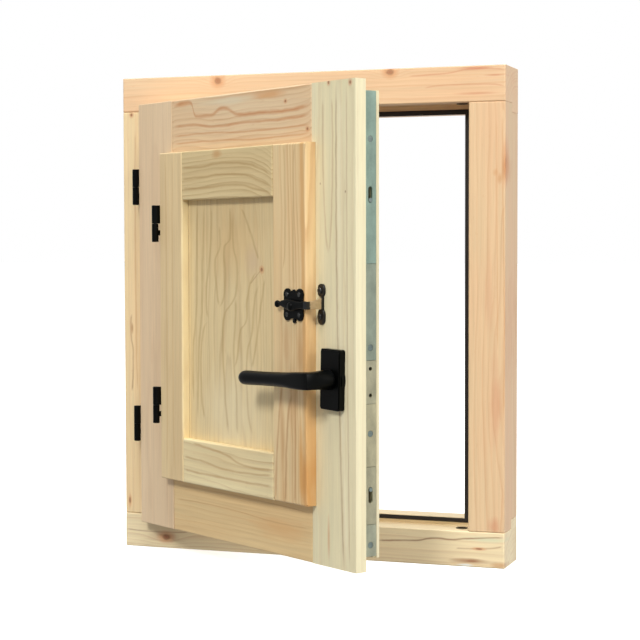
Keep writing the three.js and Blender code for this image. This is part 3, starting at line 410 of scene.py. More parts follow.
BOARDS = {  # one material for each board, under the name of its CAD node
    "frame_head": pine(
        "pine_head", ROW_MM, LEVEL, PEACH, PEACH_LATE, pith=(-520, 30), ring=4.2, contrast=0.6,
        wander=6, seed=1.3, face=FRAME_FACE, blotch=(230, 188, 146), knot_depth=0.6,
        knots=[(-118.4, 592.7, 5, 1.1), (107.1, 595.9, 4.4, 1.3)],
        streaks_and_painted_light=[
            (213, 597, 26, 2.6, RED_TINT, 0.6),
            (238, 588, 16, 1.8, RED_TINT, 0.6),
            (216, 567, 34, 2.2, RED_TINT, 0.5),
        ],
        lines=[
            ([(130, 590), (180, 592), (215, 596), (249, 592)], 0.7, RED_TINT, 0.7),
            ([(150, 575), (200, 578), (249, 574)], 0.7, RED_TINT, 0.6),
        ],
    ),
    "frame_sill": pine(
        "pine_sill", ROW_MM, LEVEL, (246, 230, 190), CREAM_LATE, pith=(60, 25), ring=5.5,
        contrast=0.6, wander=10, seed=2.1, face=FRAME_FACE,
        knots=[(-193, 14, 4.4, 1.5), (218.6, 22.5, 1.2, 4.2)],
        streaks_and_painted_light=[
            (209, 7, 34, 4.4, (150, 96, 62), 0.85),
            (244, 4, 14, 5, (196, 142, 92), 0.6),
            (203, 2.4, 13, 2.4, (232, 232, 222), 0.95),
            # painted highlight: a pale greenish band over the sill's top at its right end, for the
            # brightly lit top
            (226, 34, 36, 5, (214, 218, 184), 0.6),
            (-193, 14, 26, 9, (170, 120, 82), 0.4),
        ],
        lines=[
            ([(90, 25.3), (116, 27.3), (140, 28.6), (166, 32.8), (184, 32.2), (203, 34.2),
              (250, 37.8)], 0.8, (140, 92, 62), 1.0),
            ([(190, 21.9), (218, 22.6), (247, 27)], 0.7, BROWN_LINE, 0.7),
            ([(-249, 22), (-205, 20), (-160, 24)], 0.6, BROWN_LINE, 0.7),
        ],
    ),
    "frame_jamb_left": pine(
        "pine_jamb_left", ROW_MM, UPRIGHT, (248, 226, 180), (206, 150, 98), pith=(-190, 60),
        ring=3.8, contrast=0.45, wander=8, seed=3.7, face=FRAME_FACE,
        knots=[(-238.1, 553.6, 1.8, 1.2), (-244, 59, 1.4, 3.4)],
        streaks_and_painted_light=[(-239, 282, 2, 9, (176, 120, 76), 0.6)],
        lines=[
            ([(-239.5, 300), (-241, 275), (-238, 250), (-240, 200)], 0.9, BROWN_LINE, 0.7),
            ([(-233, 540), (-234, 400), (-232, 200)], 0.8, (208, 160, 110), 0.7),
        ],
    ),
    "frame_jamb_right": pine(
        "pine_jamb_right", ROW_MM, UPRIGHT, (226, 199, 159), (200, 138, 94), pith=(262, 22),
        ring=3.6, contrast=0.6, wander=8, seed=4.2, face=FRAME_FACE, blotch=(229, 187, 147),
        knots=[(253, 486, 3.6, 4.6)],
        streaks_and_painted_light=[
            (237, 50, 9, 14, RED_TINT, 0.5),
            (239, 200, 9, 70, RED_TINT, 0.35),
            (230, 330, 8, 60, RED_TINT, 0.2),
            (238.5, 473, 4, 6, (214, 160, 112), 0.6),
            (249, 478, 5, 22, (204, 150, 104), 0.7),
            (243, 466, 5, 9, (206, 150, 104), 0.6),
        ],
        lines=[
            ([(261, 135), (258, 115), (256, 98)], 1.1, (132, 92, 62), 0.8),
            ([(246, 540), (247, 440), (249, 300), (248, 180)], 0.7, (206, 150, 104), 0.7),
            ([(238, 540), (240, 400), (241, 260)], 0.6, (212, 158, 112), 0.6),
        ],
    ),
    "sash_stile_hinge_side": pine(
        "pine_sash_left", SASH_MM, UPRIGHT, (238, 212, 176), (206, 168, 130), pith=(38, 160),
        ring=5.0, contrast=0.45, wander=6, seed=5.5, blotch=(228, 198, 160),
        lines=[([(58, 552), (60, 300), (62, 48)], 1.4, (200, 160, 116), 0.4)],
    ),
    "sash_stile_lock_side": pine(
        "pine_sash_right", SASH_MM, UPRIGHT, (241, 230, 193), (200, 170, 124), pith=(398, 70),
        ring=7.5, contrast=0.5, wander=6, seed=6.1, blotch=(232, 222, 182),
        knots=[(430.9, 560.5, 2.0, 1.1), (393.1, 563, 1.7, 1.2)],
        streaks_and_painted_light=[
            (378, 454.4, 1.6, 2.0, (160, 120, 84), 0.7),
            (422.4, 444.7, 1.6, 2.2, (150, 112, 78), 0.7),
            (392, 70, 3, 34, (214, 158, 106), 0.6),
            (378, 320, 8, 40, (206, 206, 170), 0.5),
            # painted highlight: a pale band down the stile's right edge face, which faces the side
            # light
            (442, 300, 6, 600, (250, 242, 206), 0.55),
        ],
        lines=[
            ([(406.4, 563), (406.6, 382), (412, 200), (418.6, 37)], 1.1, (172, 138, 100), 0.85),
            ([(411.6, 563), (411.8, 382), (417, 200), (423.5, 37)], 2.4, (248, 238, 206), 0.7),
            ([(424.5, 563), (424.8, 382), (429, 37)], 0.9, (192, 160, 118), 0.7),
            ([(391.8, 378), (386, 420), (383, 480), (383, 546)], 1.1, (196, 164, 118), 0.7),
            ([(391.8, 378), (398, 420), (400, 480), (399, 546)], 1.1, (196, 164, 118), 0.7),
        ],
    ),
    "sash_rail_top": pine(
        "pine_sash_top", SASH_MM, LEVEL, (231, 207, 170), (192, 136, 88), pith=(-150, 24),
        ring=6.6, contrast=0.9, wander=3.5, seed=7.9, blotch=(230, 192, 147),
        knots=[(314.1, 548.3, 1.6, 1.2), (355.1, 515.2, 1.8, 1.2)],
        bend=[(82, 0.2), (113, 2.3), (182, -2.3), (240, -1.1), (304, -1.7), (360, 3.2)],
        streaks_and_painted_light=[
            (285, 557, 40, 6.5, (220, 164, 110), 0.75),
            (100, 559, 24, 5, (226, 170, 118), 0.6),
            (200, 556, 60, 5, (226, 214, 186), 0.6),
        ],
        lines=[
            ([(82, 553), (110, 560), (122, 558), (133, 542.6), (161, 541.7), (190, 548.1),
              (222, 538.8), (266, 538.3), (324, 538.2), (360, 544.2)], 1.7, AMBER, 0.95),
            ([(82, 530.2), (113, 532.3), (182, 527.7), (240, 528.9), (304, 528.3),
              (360, 533.2)], 1.2, AMBER, 0.9),
            ([(82, 520), (150, 521), (240, 518.5), (360, 521)], 0.8, AMBER, 0.8),
            ([(82, 511), (170, 511.5), (260, 509), (360, 512)], 0.8, AMBER, 0.8),
        ],
    ),
    "sash_rail_bottom": pine(
        "pine_sash_bottom", SASH_MM, LEVEL, (238, 210, 158), (200, 154, 100), pith=(-30, 40),
        ring=4.0, contrast=0.5, wander=5, seed=8.4, blotch=(232, 196, 142),
        streaks_and_painted_light=[(300, 66, 66, 16, (232, 184, 126), 0.6)],
        lines=[
            ([(90, 92), (200, 93), (359, 90)], 0.6, (196, 150, 98), 0.6),
            ([(82, 74), (180, 76), (300, 72), (359, 73)], 0.6, (196, 150, 98), 0.6),
        ],
    ),
    "shutter_stile_hinge_side": pine(
        "pine_shutter_left", SASH_MM, UPRIGHT, TAN, TAN_LATE, pith=(96, 120), ring=6.2,
        contrast=0.6, wander=6, seed=9.6, face=SHUTTER_FACE,
        lines=[
            ([(84, 499), (86, 300), (83, 110)], 1.0, (202, 162, 108), 0.6),
            ([(100, 499), (99, 300), (102, 110)], 1.2, (206, 166, 112), 0.5),
        ],
        # painted highlight: a bright line along the stile's inner edge by the panel, which faces
        # the side light
        streaks_and_painted_light=[(120.5, 300, 2.2, 1200, (255, 236, 186), 0.85)],
    ),
    "shutter_stile_latch_side": pine(
        "pine_shutter_right", SASH_MM, UPRIGHT, TAN, (190, 132, 76), pith=(300, 30), ring=6.6,
        contrast=0.9, wander=9, tilt=(0.0, 1.4), seed=10.2, face=SHUTTER_FACE,
        blotch=(232, 192, 136),
        streaks_and_painted_light=[
            (345, 215, 11, 55, (198, 146, 94), 0.45),
            (326, 180, 6, 60, (198, 146, 96), 0.4),
            (360, 268, 9, 38, (200, 148, 94), 0.55),
            (334, 275, 8, 40, (204, 154, 104), 0.5),
            (361, 140, 6, 60, (226, 166, 92), 0.8),
            # painted side light: these two tint the stile's right side face toward its lit orange
            # look
            (367, 290, 5, 1200, (220, 170, 108), 0.8),
            (367, 130, 5, 60, (214, 150, 80), 0.8),
        ],
        lines=[
            ([(344, 222), (336, 190), (331, 100)], 1.4, (178, 118, 72), 0.8),
            ([(325, 230), (318, 180), (312, 101)], 1.3, (184, 124, 78), 0.7),
            ([(352, 240), (350, 170), (349, 101)], 1.2, (184, 126, 74), 0.7),
            ([(330, 499), (332, 420), (326, 360)], 0.9, (190, 146, 94), 0.6),
            ([(350, 499), (347, 420), (349, 340)], 0.9, (190, 146, 94), 0.6),
        ],
    ),
    "shutter_rail_top": pine(
        "pine_shutter_top", SASH_MM, LEVEL, (230, 210, 162), (170, 132, 80), pith=(-250, 12),
        ring=6.3, contrast=1.0, wander=5, seed=11.8, face=SHUTTER_FACE,
        bend=[(120, -1.5), (165, 0), (200, 2), (250, 1), (280, -4), (306, -14)],
        streaks_and_painted_light=[(197, 494, 13, 7, (206, 160, 108), 0.8)],
        lines=[
            ([(120, 481), (160, 480), (200, 483), (250, 481), (280, 475),
              (306, 465)], 1.0, (176, 138, 86), 0.8),
            ([(120, 467), (165, 468), (205, 470), (250, 468), (278, 462),
              (306, 452)], 1.0, (176, 138, 86), 0.8),
            ([(120, 456), (170, 455), (230, 457), (270, 452),
              (306, 446)], 0.9, (176, 138, 86), 0.7),
        ],
    ),
    "shutter_rail_bottom": pine(
        "pine_shutter_bottom", SASH_MM, LEVEL, (244, 228, 182), (190, 150, 96), pith=(120, 16),
        ring=10.4, contrast=0.8, wander=3, seed=12.5, face=SHUTTER_FACE,
        bend=[(120, 4), (168, 2.5), (220, -2), (260, -4), (306, -3)],
        lines=[
            ([(141, 149.7), (210, 142.9), (259, 133.1), (306, 133.7)], 1.1, (190, 150, 98), 0.85),
            ([(121, 131.8), (168, 129.8), (221, 124.9), (306, 128.1)], 1.0, (190, 150, 98), 0.85),
            ([(121, 118), (195, 114.8), (306, 115.4)], 1.0, (190, 150, 98), 0.85),
        ],
    ),
    "shutter_panel": pine(
        "pine_panel", SASH_MM, UPRIGHT, (232, 212, 166), (172, 134, 84), pith=(215, 26),
        ring=6.4, contrast=0.6, wander=14, tilt=(2.2, 0.4), seed=13.3, face=PANEL_FACE,
        blotch=(224, 198, 148),
        knots=[(272.9, 359.5, 2.6, 1.0)],
        lines=[
            ([(272, 359), (262, 352), (250, 343)], 0.9, (160, 108, 70), 0.6),
            *((points, 1.5, PANEL_LINE, 0.62) for points in PANEL_GRAIN),
        ],
        streaks_and_painted_light=[
            (255, 370, 20, 26, (212, 186, 160), 0.5),
            (215, 400, 90, 70, (220, 182, 124), 0.4),
            (215, 190, 90, 80, (242, 228, 190), 0.5),
        ],
    ),
}


# ------------------------------------------------------------ other finishes


def black_paint():
    t = Tree("satin_black")
    p = t.mapped(ROW_MM)
    grain = t.noise(t.divided(p, 0.55))
    dust = t.noise(t.divided(p, 9), detail=4, roughness=0.65)
    dusty = t.ramp(dust, [(0.45, 0.0), (0.85, 0.5)])
    t.surface("Base Color", t.mix(dusty, srgb(1, 2, 2), srgb(9, 11, 11)))
    t.surface("Roughness", t.math("MULTIPLY_ADD", dust, 0.2, 0.27))
    t.surface("Specular IOR Level", 0.13)
    t.bump(grain, 0.18, 0.06)
    return t.material


def worn_black(name, bare, worn=None):
    """Satin black rubbed to bare steel: in patches, or between two distances out of the sash."""
    t = Tree(name)
    p = t.mapped(SASH_MM)
    rub = t.noise(t.divided(p, 3.2), detail=3)
    if worn is None:
        mask = t.ramp(rub, [(0.42, 0.0), (0.62, 1.0)])
    else:
        start, end = worn
        out = t.math("ADD", t.math("MULTIPLY", t.split(p)["Y"], -1.0), t.centred(rub, 3.0))
        past_start = t.math("MULTIPLY", t.math("SUBTRACT", out, start), 0.8, clamp=True)
        before_end = t.math("MULTIPLY", t.math("SUBTRACT", end, out), 0.8, clamp=True)
        mask = t.math("MULTIPLY", past_start, before_end)
    bright = srgb(*bare)
    steel = t.mix(rub, bright, tuple(c * 0.6 for c in bright))
    t.surface("Base Color", t.mix(mask, srgb(5, 6, 6), steel))
    t.surface("Metallic", t.math("MULTIPLY", mask, 0.85))
    t.surface("Roughness", t.math("MULTIPLY_ADD", rub, 0.2, 0.24))
    t.bump(rub, 0.15, 0.08)
    return t.material


def zinc(name, tone):
    """Galvanised sheet: small crystals, cloudy patches and fine upright scratches."""
    t = Tree(name)
    p = t.mapped(ROW_MM)
    cells = t.nodes.new("ShaderNodeTexVoronoi")
    t.put(cells.inputs["Vector"], t.divided(p, (2.6, 2.6, 5)))
    cloud = t.noise(t.divided(p, (14, 14, 26)), detail=4, roughness=0.6)
    scratch = t.noise(t.divided(p, (0.5, 0.5, 14)), detail=3)
    base = srgb(*tone)
    dull = tuple(c * 0.62 for c in base)
    bright = tuple(min(1, c * 1.5) for c in base)
    colour = t.mix(t.ramp(cloud, [(0.3, 0.0), (0.7, 1.0)]), dull, base)
    colour = t.mix(t.math("MULTIPLY", cells.outputs["Distance"], 0.25), colour, bright)
    t.surface("Base Color", colour)
    t.surface("Metallic", 0.6)
    t.surface("Roughness", t.math("MULTIPLY_ADD", scratch, 0.25, 0.3))
    t.bump(t.math("ADD", scratch, cloud), 0.2, 0.05)
    return t.material


def rubber():
    t = Tree("black_rubber")
    p = t.mapped(ROW_MM)
    grain = t.noise(t.divided(p, 1.4), detail=3)
    dust = t.math("MULTIPLY", t.noise(t.divided(p, 16), detail=3), 0.6)
    t.surface("Base Color", t.mix(dust, srgb(20, 16, 15), srgb(46, 38, 34)))
    t.surface("Roughness", 0.68)
    t.bump(grain, 0.2, 0.1)
    return t.material


def glass():
    t = Tree("float_glass")
    wave = t.noise(t.divided(t.mapped(ROW_MM), 90), detail=1)
    tint = t.mix(t.math("MULTIPLY", wave, 0.2), srgb(236, 246, 242), srgb(214, 236, 228))
    t.surface("Base Color", tint)
    t.surface("Roughness", 0.02)
    t.surface("Transmission Weight", 1.0)
    t.surface("IOR", 1.5)
    t.bump(wave, 0.02, 0.5)
    return t.material


def spacer_metal():
    t = Tree("spacer_bar")
    mill = t.noise(t.divided(t.mapped(ROW_MM), (0.6, 0.6, 30)), detail=3)
    t.surface("Base Color", t.mix(mill, srgb(176, 178, 180), srgb(205, 207, 208)))
    t.surface("Metallic", 0.9)
    t.surface("Roughness", t.math("MULTIPLY_ADD", mill, 0.2, 0.3))
    return t.material


# ------------------------------------------------------------ edges on CAD nodes

MERGE_DISTANCE = 2e-6  # corners of neighbouring triangles, in row metres
FLAT_ANGLE = math.radians(0.6)  # faces closer than this become one
ARRIS_ANGLE = math.radians(40)  # edges sharper than this are rounded
SHARP_ANGLE = math.radians(32)  # edges sharper than this stay sharp in the shading
FLATS_WEIGHT = 80  # how far the big flat faces decide the shading at their edges
FACE_MARGIN = 0.3  # how near the room face an edge's ends lie, in mm
LONG_EDGE = 12  # shorter edges in the room face keep the narrow arris, in mm


def new_group(name):
    group = bpy.data.node_groups.new(name, "GeometryNodeTree")
    for way in ("INPUT", "OUTPUT"):
        group.interface.new_socket("Geometry", in_out=way, socket_type="NodeSocketGeometry")
    return group


def chain(group, made):
    """Runs the geometry through the made nodes, from the group's input to its output."""
    last = group.nodes.new("NodeGroupInput").outputs[0]
    for node in made:
        group.links.new(last, node.inputs["Geometry" if "Geometry" in node.inputs else "Mesh"])
        last = node.outputs[0]
    group.links.new(last, group.nodes.new("NodeGroupOutput").inputs[0])


def join_faces():
    """A node group that joins loose triangles into solids."""
    group = new_group("join_faces")
    merge = group.nodes.new("GeometryNodeMergeByDistance")
    merge.inputs["Distance"].default_value = MERGE_DISTANCE
    drop = group.nodes.new("GeometryNodeRemoveAttribute")
    drop.inputs["Name"].default_value = "custom_normal"
    chain(group, [drop, merge])
    return group


def shade_by_angle():
    """A node group that shades every face smooth, up to the sharp edges."""
    group = new_group("shade_by_angle")
    angle = group.nodes.new("GeometryNodeInputMeshEdgeAngle")
    sharp = group.nodes.new("FunctionNodeCompare")
    sharp.operation = "GREATER_THAN"
    sharp.inputs[1].default_value = SHARP_ANGLE
    group.links.new(angle.outputs[0], sharp.inputs[0])
    faces = group.nodes.new("GeometryNodeSetShadeSmooth")
    faces.domain = "FACE"
    edges = group.nodes.new("GeometryNodeSetShadeSmooth")
    edges.domain = "EDGE"
    edges.inputs["Shade Smooth"].default_value = False
    group.links.new(sharp.outputs[0], edges.inputs["Selection"])
    chain(group, [faces, edges])
    return group


def front_edges(space, face):
    """A node group that weights the long edges lying in one room face, for the wide arris."""
    group = new_group("front_edges")

    def make(kind, operation, *values):
        node = group.nodes.new(kind)
        node.operation = operation
        for socket, value in zip(node.inputs, values):
            if isinstance(value, bpy.types.NodeSocket):
                group.links.new(value, socket)
            else:
                socket.default_value = value
        return node

    def number(operation, *values):
        return make("ShaderNodeMath", operation, *values).outputs[0]

    def measure(operation, *values):
        return make("ShaderNodeVectorMath", operation, *values).outputs["Value"]

    ends = group.nodes.new("GeometryNodeInputMeshEdgeVertices").outputs
    ends = (ends["Position 1"], ends["Position 2"])
    normal, offset = tuple(space[1][:3]), space[1][3]
    weight = number("GREATER_THAN", measure("DISTANCE", *ends), LONG_EDGE * MM)
    for end in ends:
        from_face = number("ADD", measure("DOT_PRODUCT", end, normal), offset - face)
        on_face = number("LESS_THAN", number("ABSOLUTE", from_face), FACE_MARGIN)
        weight = number("MULTIPLY", weight, on_face)
    store = group.nodes.new("GeometryNodeStoreNamedAttribute")
    store.data_type = "FLOAT"
    store.domain = "EDGE"
    store.inputs["Name"].default_value = "bevel_weight_edge"
    group.links.new(weight, store.inputs["Value"])
    chain(group, [store])
    return group


JOIN_FACES = join_faces()
SHADE_BY_ANGLE = shade_by_angle()


def add_group(obj, name, group):
    obj.modifiers.new(name, "NODES").node_group = group


def add_bevel(obj, name, limit, width, segments):
    bevel = obj.modifiers.new(name, "BEVEL")
    bevel.width = width * MM
    bevel.segments = segments
    bevel.limit_method = limit
    bevel.miter_outer = "MITER_ARC"
    return bevel


def soften(obj, width, segments=2, front=None, front_width=0.0, clamp_front=False):
    """Rounds a CAD node's edges by width, in mm, and leaves its own mesh as it is.

    front is the node group that picks the room face's own edges, rounded by front_width and
    held back by clamp_front where they meet others.
    """
    add_group(obj, "join", JOIN_FACES)
    flat = obj.modifiers.new("flat", "DECIMATE")
    flat.decimate_type = "DISSOLVE"
    flat.angle_limit = FLAT_ANGLE
    if front:
        add_group(obj, "front", front)
        wide = add_bevel(obj, "wide_arris", "WEIGHT", front_width, 3)
        wide.use_clamp_overlap = clamp_front
    if width:
        add_bevel(obj, "arris", "ANGLE", width, segments).angle_limit = ARRIS_ANGLE
    add_group(obj, "shade", SHADE_BY_ANGLE)
    flats = obj.modifiers.new("flats", "WEIGHTED_NORMAL")
    flats.keep_sharp = True
    flats.weight = FLATS_WEIGHT


def paint(obj, material):
    if obj.data.materials:
        for slot in obj.material_slots:
            slot.material = material
    else:
        obj.data.materials.append(material)


# ------------------------------------------------------------ finishes on the CAD nodes

BLACK = black_paint()
ZINC = zinc("zinc_plate", (150, 166, 162))
KEEP_METAL = zinc("keep_metal", (96, 86, 66))
PLATES = {
    "bolt_keep_head": KEEP_METAL,
    "bolt_keep_sill": KEEP_METAL,
    "faceplate_top": zinc("zinc_top", (168, 194, 180)),
    "faceplate_upper": zinc("zinc_upper", (176, 188, 170)),
    "gearbox_front": zinc("zinc_gearbox", (206, 202, 172)),
    "faceplate_lower": zinc("zinc_lower", (212, 206, 172)),
    "faceplate_bottom": zinc("zinc_bottom", (204, 200, 170)),
    "faceplate_end": zinc("zinc_end", (196, 200, 176)),
}
RUBBER = rubber()
GLASS = glass()
SPACER = spacer_metal()
WORN_SCREW = worn_black("worn_screw", (104, 104, 102))
# the strap's warm bare tone is partly the metal's own and partly a painted reflection of the wood
# round it
KEEPER = worn_black("keeper_steel", (214, 190, 156), worn=(3.6, 20.0))
BEAD = pine(
    "pine_bead", SASH_MM, UPRIGHT, CREAM, CREAM_LATE, pith=(200, 90), ring=3.4, contrast=0.5,
    wander=8, seed=14.6,
)
BEAD_LEVEL = pine(
    "pine_bead_level", SASH_MM, LEVEL, CREAM, CREAM_LATE, pith=(-300, 90), ring=3.4, contrast=0.5,
    wander=8, seed=15.1,
)

ARRISES = {  # start of a board's name: its room face, the arris round that face, the others
    "shutter_stile": (SHUTTER_FACE, 2.4, 1.0),
    "shutter_rail": (SHUTTER_FACE, 2.2, 1.0),
    "shutter_panel": (PANEL_FACE, 0.5, 0.5),
    "sash_": (SASH_FACE, 1.9, 0.8),
    "frame_": (FRAME_FACE, 1.6, 1.0),
}
NO_WIDE_ARRIS = "sash_stile_hinge_side"  # a wide arris leaves a spike at its top
CLAMPED_ARRIS = "sash_stile_lock_side"  # an unclamped one leaves a notch in it


def finish_board(name, obj):
    paint(obj, BOARDS[name])
    arris = next(row for start, row in ARRISES.items() if name.startswith(start))
    face, front_width, width = arris
    space = ROW_MM if name.startswith("frame_") else SASH_MM
    front = None if name == NO_WIDE_ARRIS else front_edges(space, face)
    soften(obj, width, 3, front, front_width, clamp_front=name == CLAMPED_ARRIS)


def finish_for(name):
    """The material and the arris, in mm, of a CAD node that is not a board."""
    if name.startswith("glazing_bead"):
        return BEAD_LEVEL if name.endswith(("top", "bottom")) else BEAD, 0.8
    if name == "frame_gasket":
        return RUBBER, 0.8
    if name.startswith("glass_spacer"):
        return SPACER, 0.0
    if name.startswith("glass"):
        return GLASS, 0.3
    if name == "latch_keeper":
        return KEEPER, 0.4
    if name.startswith(("latch_screw", "keeper_screw")):
        return WORN_SCREW, 0.2
    if "hinge" in name or name.startswith(("latch", "keeper", "lever", "rosette_cover")):
        return BLACK, 0.35
    return PLATES.get(name, ZINC), 0.2


for name, obj in NODES.items():
    if name in BOARDS:
        finish_board(name, obj)
    else:
        material, arris = finish_for(name)
        paint(obj, material)
        soften(obj, arris)


# ------------------------------------------------------------ new shapes


def ring_mesh(rings, closed_along=False):
    """A skin over rings of points, closed at its two ends or run round into itself."""
    count = len(rings[0])
    verts = [tuple(point) for ring in rings for point in ring]
    faces = []
    spans = len(rings) if closed_along else len(rings) - 1
    for i in range(spans):
        a, b = i * count, ((i + 1) % len(rings)) * count
        for j in range(count):
            k = (j + 1) % count
            faces.append((a + j, a + k, b + k, b + j))
    if not closed_along:
        faces.append(tuple(reversed(range(count))))
        faces.append(tuple(range((len(rings) - 1) * count, len(rings) * count)))
    return verts, faces


def new_piece(name, parts, material, body, slot, *stands_for):
    """One object from skins in row metres, riding a body in place of the CAD nodes it names."""
    mesh = bpy.data.meshes.new(name)
    verts, faces = [], []
    for part_verts, part_faces in parts:
        start = len(verts)
        verts += part_verts
        faces += [tuple(start + i for i in face) for face in part_faces]
    mesh.from_pydata(verts, [], faces)
    mesh.validate()
    obj = bpy.data.objects.new(name, mesh)
    bpy.context.scene.collection.objects.link(obj)
    mesh.materials.append(material)
    add_group(obj, "shade", SHADE_BY_ANGLE)
    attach(obj, body)
    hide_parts(*stands_for)


def squircle(half_a, half_b, power, count=44):
    """Points of a rounded square; a power of 2 gives an ellipse."""
    points = []
    for i in range(count):
        angle = 2 * math.pi * (i + 0.5) / count
        c, s = math.cos(angle), math.sin(angle)
        points.append((
            half_a * math.copysign(abs(c) ** (2 / power), c),
            half_b * math.copysign(abs(s) ** (2 / power), s),
        ))
    return points


def joint_place(joint):
    """Where a joint passes at rest, in the sash's own mm."""
    return SASH_MM @ Vector(JOINTS[joint]["pos_m"])


LEVER_DROOP = math.radians(-1.5)
GRIP_OUT = 37.5  # the grip's axis, from the sash's room face
LEVER_NECK = [  # distance out of the sash, half width, squareness
    (8.7, 10.6, 2), (9.3, 11.2, 2), (12, 11.3, 2), (17, 10.8, 2.1), (24, 10.1, 2.7),
    (31, 9.7, 4.0), (37, 9.4, 6), (41, 9.35, 8),
]
LEVER_GRIP = [  # distance along from the spindle, half depth, half height, squareness
    (-9.5, 8.4, 8.5, 10), (-9.1, 8.9, 9.0, 10), (-8.6, 9.0, 9.2, 10), (0, 9.0, 9.3, 9),
    (8, 8.95, 9.3, 8), (17, 8.6, 9.1, 6.5), (26, 8.3, 8.8, 4.5), (36, 8.0, 8.4, 3.0),
    (50, 7.8, 8.1, 2.3), (70, 7.8, 7.9, 2), (92, 7.9, 7.9, 2), (108.5, 8.1, 8.1, 2),
    (115.3, 8.1, 8.1, 2), (118.9, 7.6, 7.6, 2), (121.3, 6.4, 6.4, 2), (122.5, 4.4, 4.4, 2),
    (122.8, 2.2, 2.2, 2),
]


def make_lever():
    """A lever handle: a round neck that grows square, a sharp corner and a tapered round grip."""
    spindle = joint_place("handle_turn")
    droop = Matrix.Rotation(LEVER_DROOP, 4, "Y")
    place = SASH_TO_ROW @ Matrix.Translation((spindle.x, 0, spindle.z)) @ droop
    neck = [
        [place @ Vector((a, -out, b)) for a, b in squircle(half, half, power)]
        for out, half, power in LEVER_NECK
    ]
    grip = [
        [place @ Vector((-along, -GRIP_OUT - a, b)) for a, b in squircle(depth, height, power)]
        for along, depth, height, power in LEVER_GRIP
    ]
    parts = [ring_mesh(neck), ring_mesh(grip)]
    new_piece("lever_cast", parts, BLACK, "handle", "black_paint", "lever")


LATCH_OUT = 5.9  # the latch bar's middle, out from its pivot
LATCH_SQUARENESS = 2.6
LATCH_BAR = [  # distance along, half height, half depth, height of the middle
    (-28.0, 0.6, 0.6, 0.4), (-27.6, 1.9, 1.6, 0.4), (-26.4, 3.2, 2.5, 0.4), (-24.4, 3.9, 3.0, 0.4),
    (-22.4, 3.3, 2.6, 0.4), (-21.0, 2.0, 1.9, 0.5), (-19.2, 2.1, 1.9, 0.8), (-15, 3.6, 2.2, 1.0),
    (-9, 5.2, 2.5, 0.6), (-2, 6.2, 2.7, -0.6), (4, 6.0, 2.7, -0.9), (10, 4.7, 2.6, -0.4),
    (16, 3.9, 2.4, -0.1), (21, 4.2, 2.4, 0.0), (27, 4.4, 2.4, 0.0), (30.6, 4.1, 2.2, 0.0),
    (32.0, 3.0, 1.8, 0.0), (32.4, 1.2, 1.0, 0.0),
]
DOME_X, DOME_Z = 1.5, -1.8  # the dome's middle, from the pivot
LATCH_DOME = [  # distance out, radius
    (4.0, 4.8), (7.4, 4.9), (8.6, 4.4), (9.6, 3.2), (10.1, 1.6), (10.2, 0.4),
]
STEM_RADIUS = 3.1
STEM_ENDS = (-7.5, 4.5)  # behind the pivot and out of it


def make_latch_bar():
    """The turn latch's bar: a thumb ball, a leaf-shaped body over the plate, and the tongue."""
    place = SASH_TO_ROW @ Matrix.Translation(joint_place("latch_turn"))
    bar = [
        [place @ Vector((x, -LATCH_OUT - a, middle + b))
         for a, b in squircle(depth, height, LATCH_SQUARENESS, 28)]
        for x, height, depth, middle in LATCH_BAR
    ]
    dome = [
        [place @ Vector((DOME_X + a, -out, DOME_Z + b))
         for a, b in squircle(radius, radius, 2, 28)]
        for out, radius in LATCH_DOME
    ]
    stem = [
        [place @ Vector((a, -out, b)) for a, b in squircle(STEM_RADIUS, STEM_RADIUS, 2, 20)]
        for out in STEM_ENDS
    ]
    parts = [ring_mesh(bar), ring_mesh(dome), ring_mesh(stem)]
    new_piece("latch_cast", parts, BLACK, "latch", "black_paint", "latch_bar")


EARS = ((16.0, 7.2), (-12.8, 8.6))  # height from the latch's pivot, half height
EAR_X, EAR_HALF_WIDTH, EAR_SQUARENESS = 381.2, 6.3, 2.7
EAR_SIDE = ((0.05, 0.0), (1.5, 0.0), (2.1, 0.7))  # distance out of the sash, inset
STRAP_X, STRAP_HALF_THICK, STRAP_SQUARENESS = 384.1, 0.85, 6
STRAP = [  # distance out of the sash, lower edge, upper edge
    (0.1, -6.0, 10.4), (1.6, -5.6, 9.6), (4.0, -4.7, 8.0), (8.0, -4.2, 6.6), (13.0, -4.2, 5.2),
    (20.0, -4.4, 4.4), (24.3, -4.4, 4.0),
]
LIP_OUT, LIP_HALF_THICK, LIP_SQUARENESS, LIP_RISE = 23.7, 0.75, 5, -0.2
LIP = ((378.7, 3.0), (379.3, 3.8), (381.0, 4.2), (384.9, 4.2))  # x, half height


def make_keeper():
    """The latch's keeper: two oval ears, a strap narrowing outward and a lip over the tongue."""
    pivot = joint_place("latch_turn").z

    def point(x, out, z):
        return SASH_TO_ROW @ Vector((x, -out, z))

    ears = [
        [
            [point(EAR_X + a, out, pivot + height + b)
             for a, b in squircle(EAR_HALF_WIDTH - inset, half - inset, EAR_SQUARENESS, 36)]
            for out, inset in EAR_SIDE
        ]
        for height, half in EARS
    ]
    strap = [
        [point(STRAP_X + a, out, pivot + (low + high) / 2 + b)
         for a, b in squircle(STRAP_HALF_THICK, (high - low) / 2, STRAP_SQUARENESS, 28)]
        for out, low, high in STRAP
    ]
    lip = [
        [point(x, LIP_OUT + a, pivot + LIP_RISE + b)
         for a, b in squircle(LIP_HALF_THICK, half, LIP_SQUARENESS, 28)]
        for x, half in LIP
    ]
    parts = [ring_mesh(rings) for rings in (*ears, strap, lip)]
    new_piece("keeper_cast", parts, KEEPER, "sash", "black_paint", "latch_keeper")


BAR_WIDTH = 5
SEAL_PROFILE = [  # distance from the bar's inner edge outward, y in the row frame
    (5, 2.0), (5, 1.0), (3.6, 0.5), (1.0, 0.4), (-1.2, 0.7), (-2.1, 1.6), (-2.2, 2.8), (-1.6, 3.8),
    (-0.4, 4.2), (-0.2, 2.2),
]
SILL_DROP = 1  # how far the seal stands below the bar at the sill
SILL_LIP, HEAD_LIP = 0.0, -1.0  # the furthest its lip reaches past the bar there


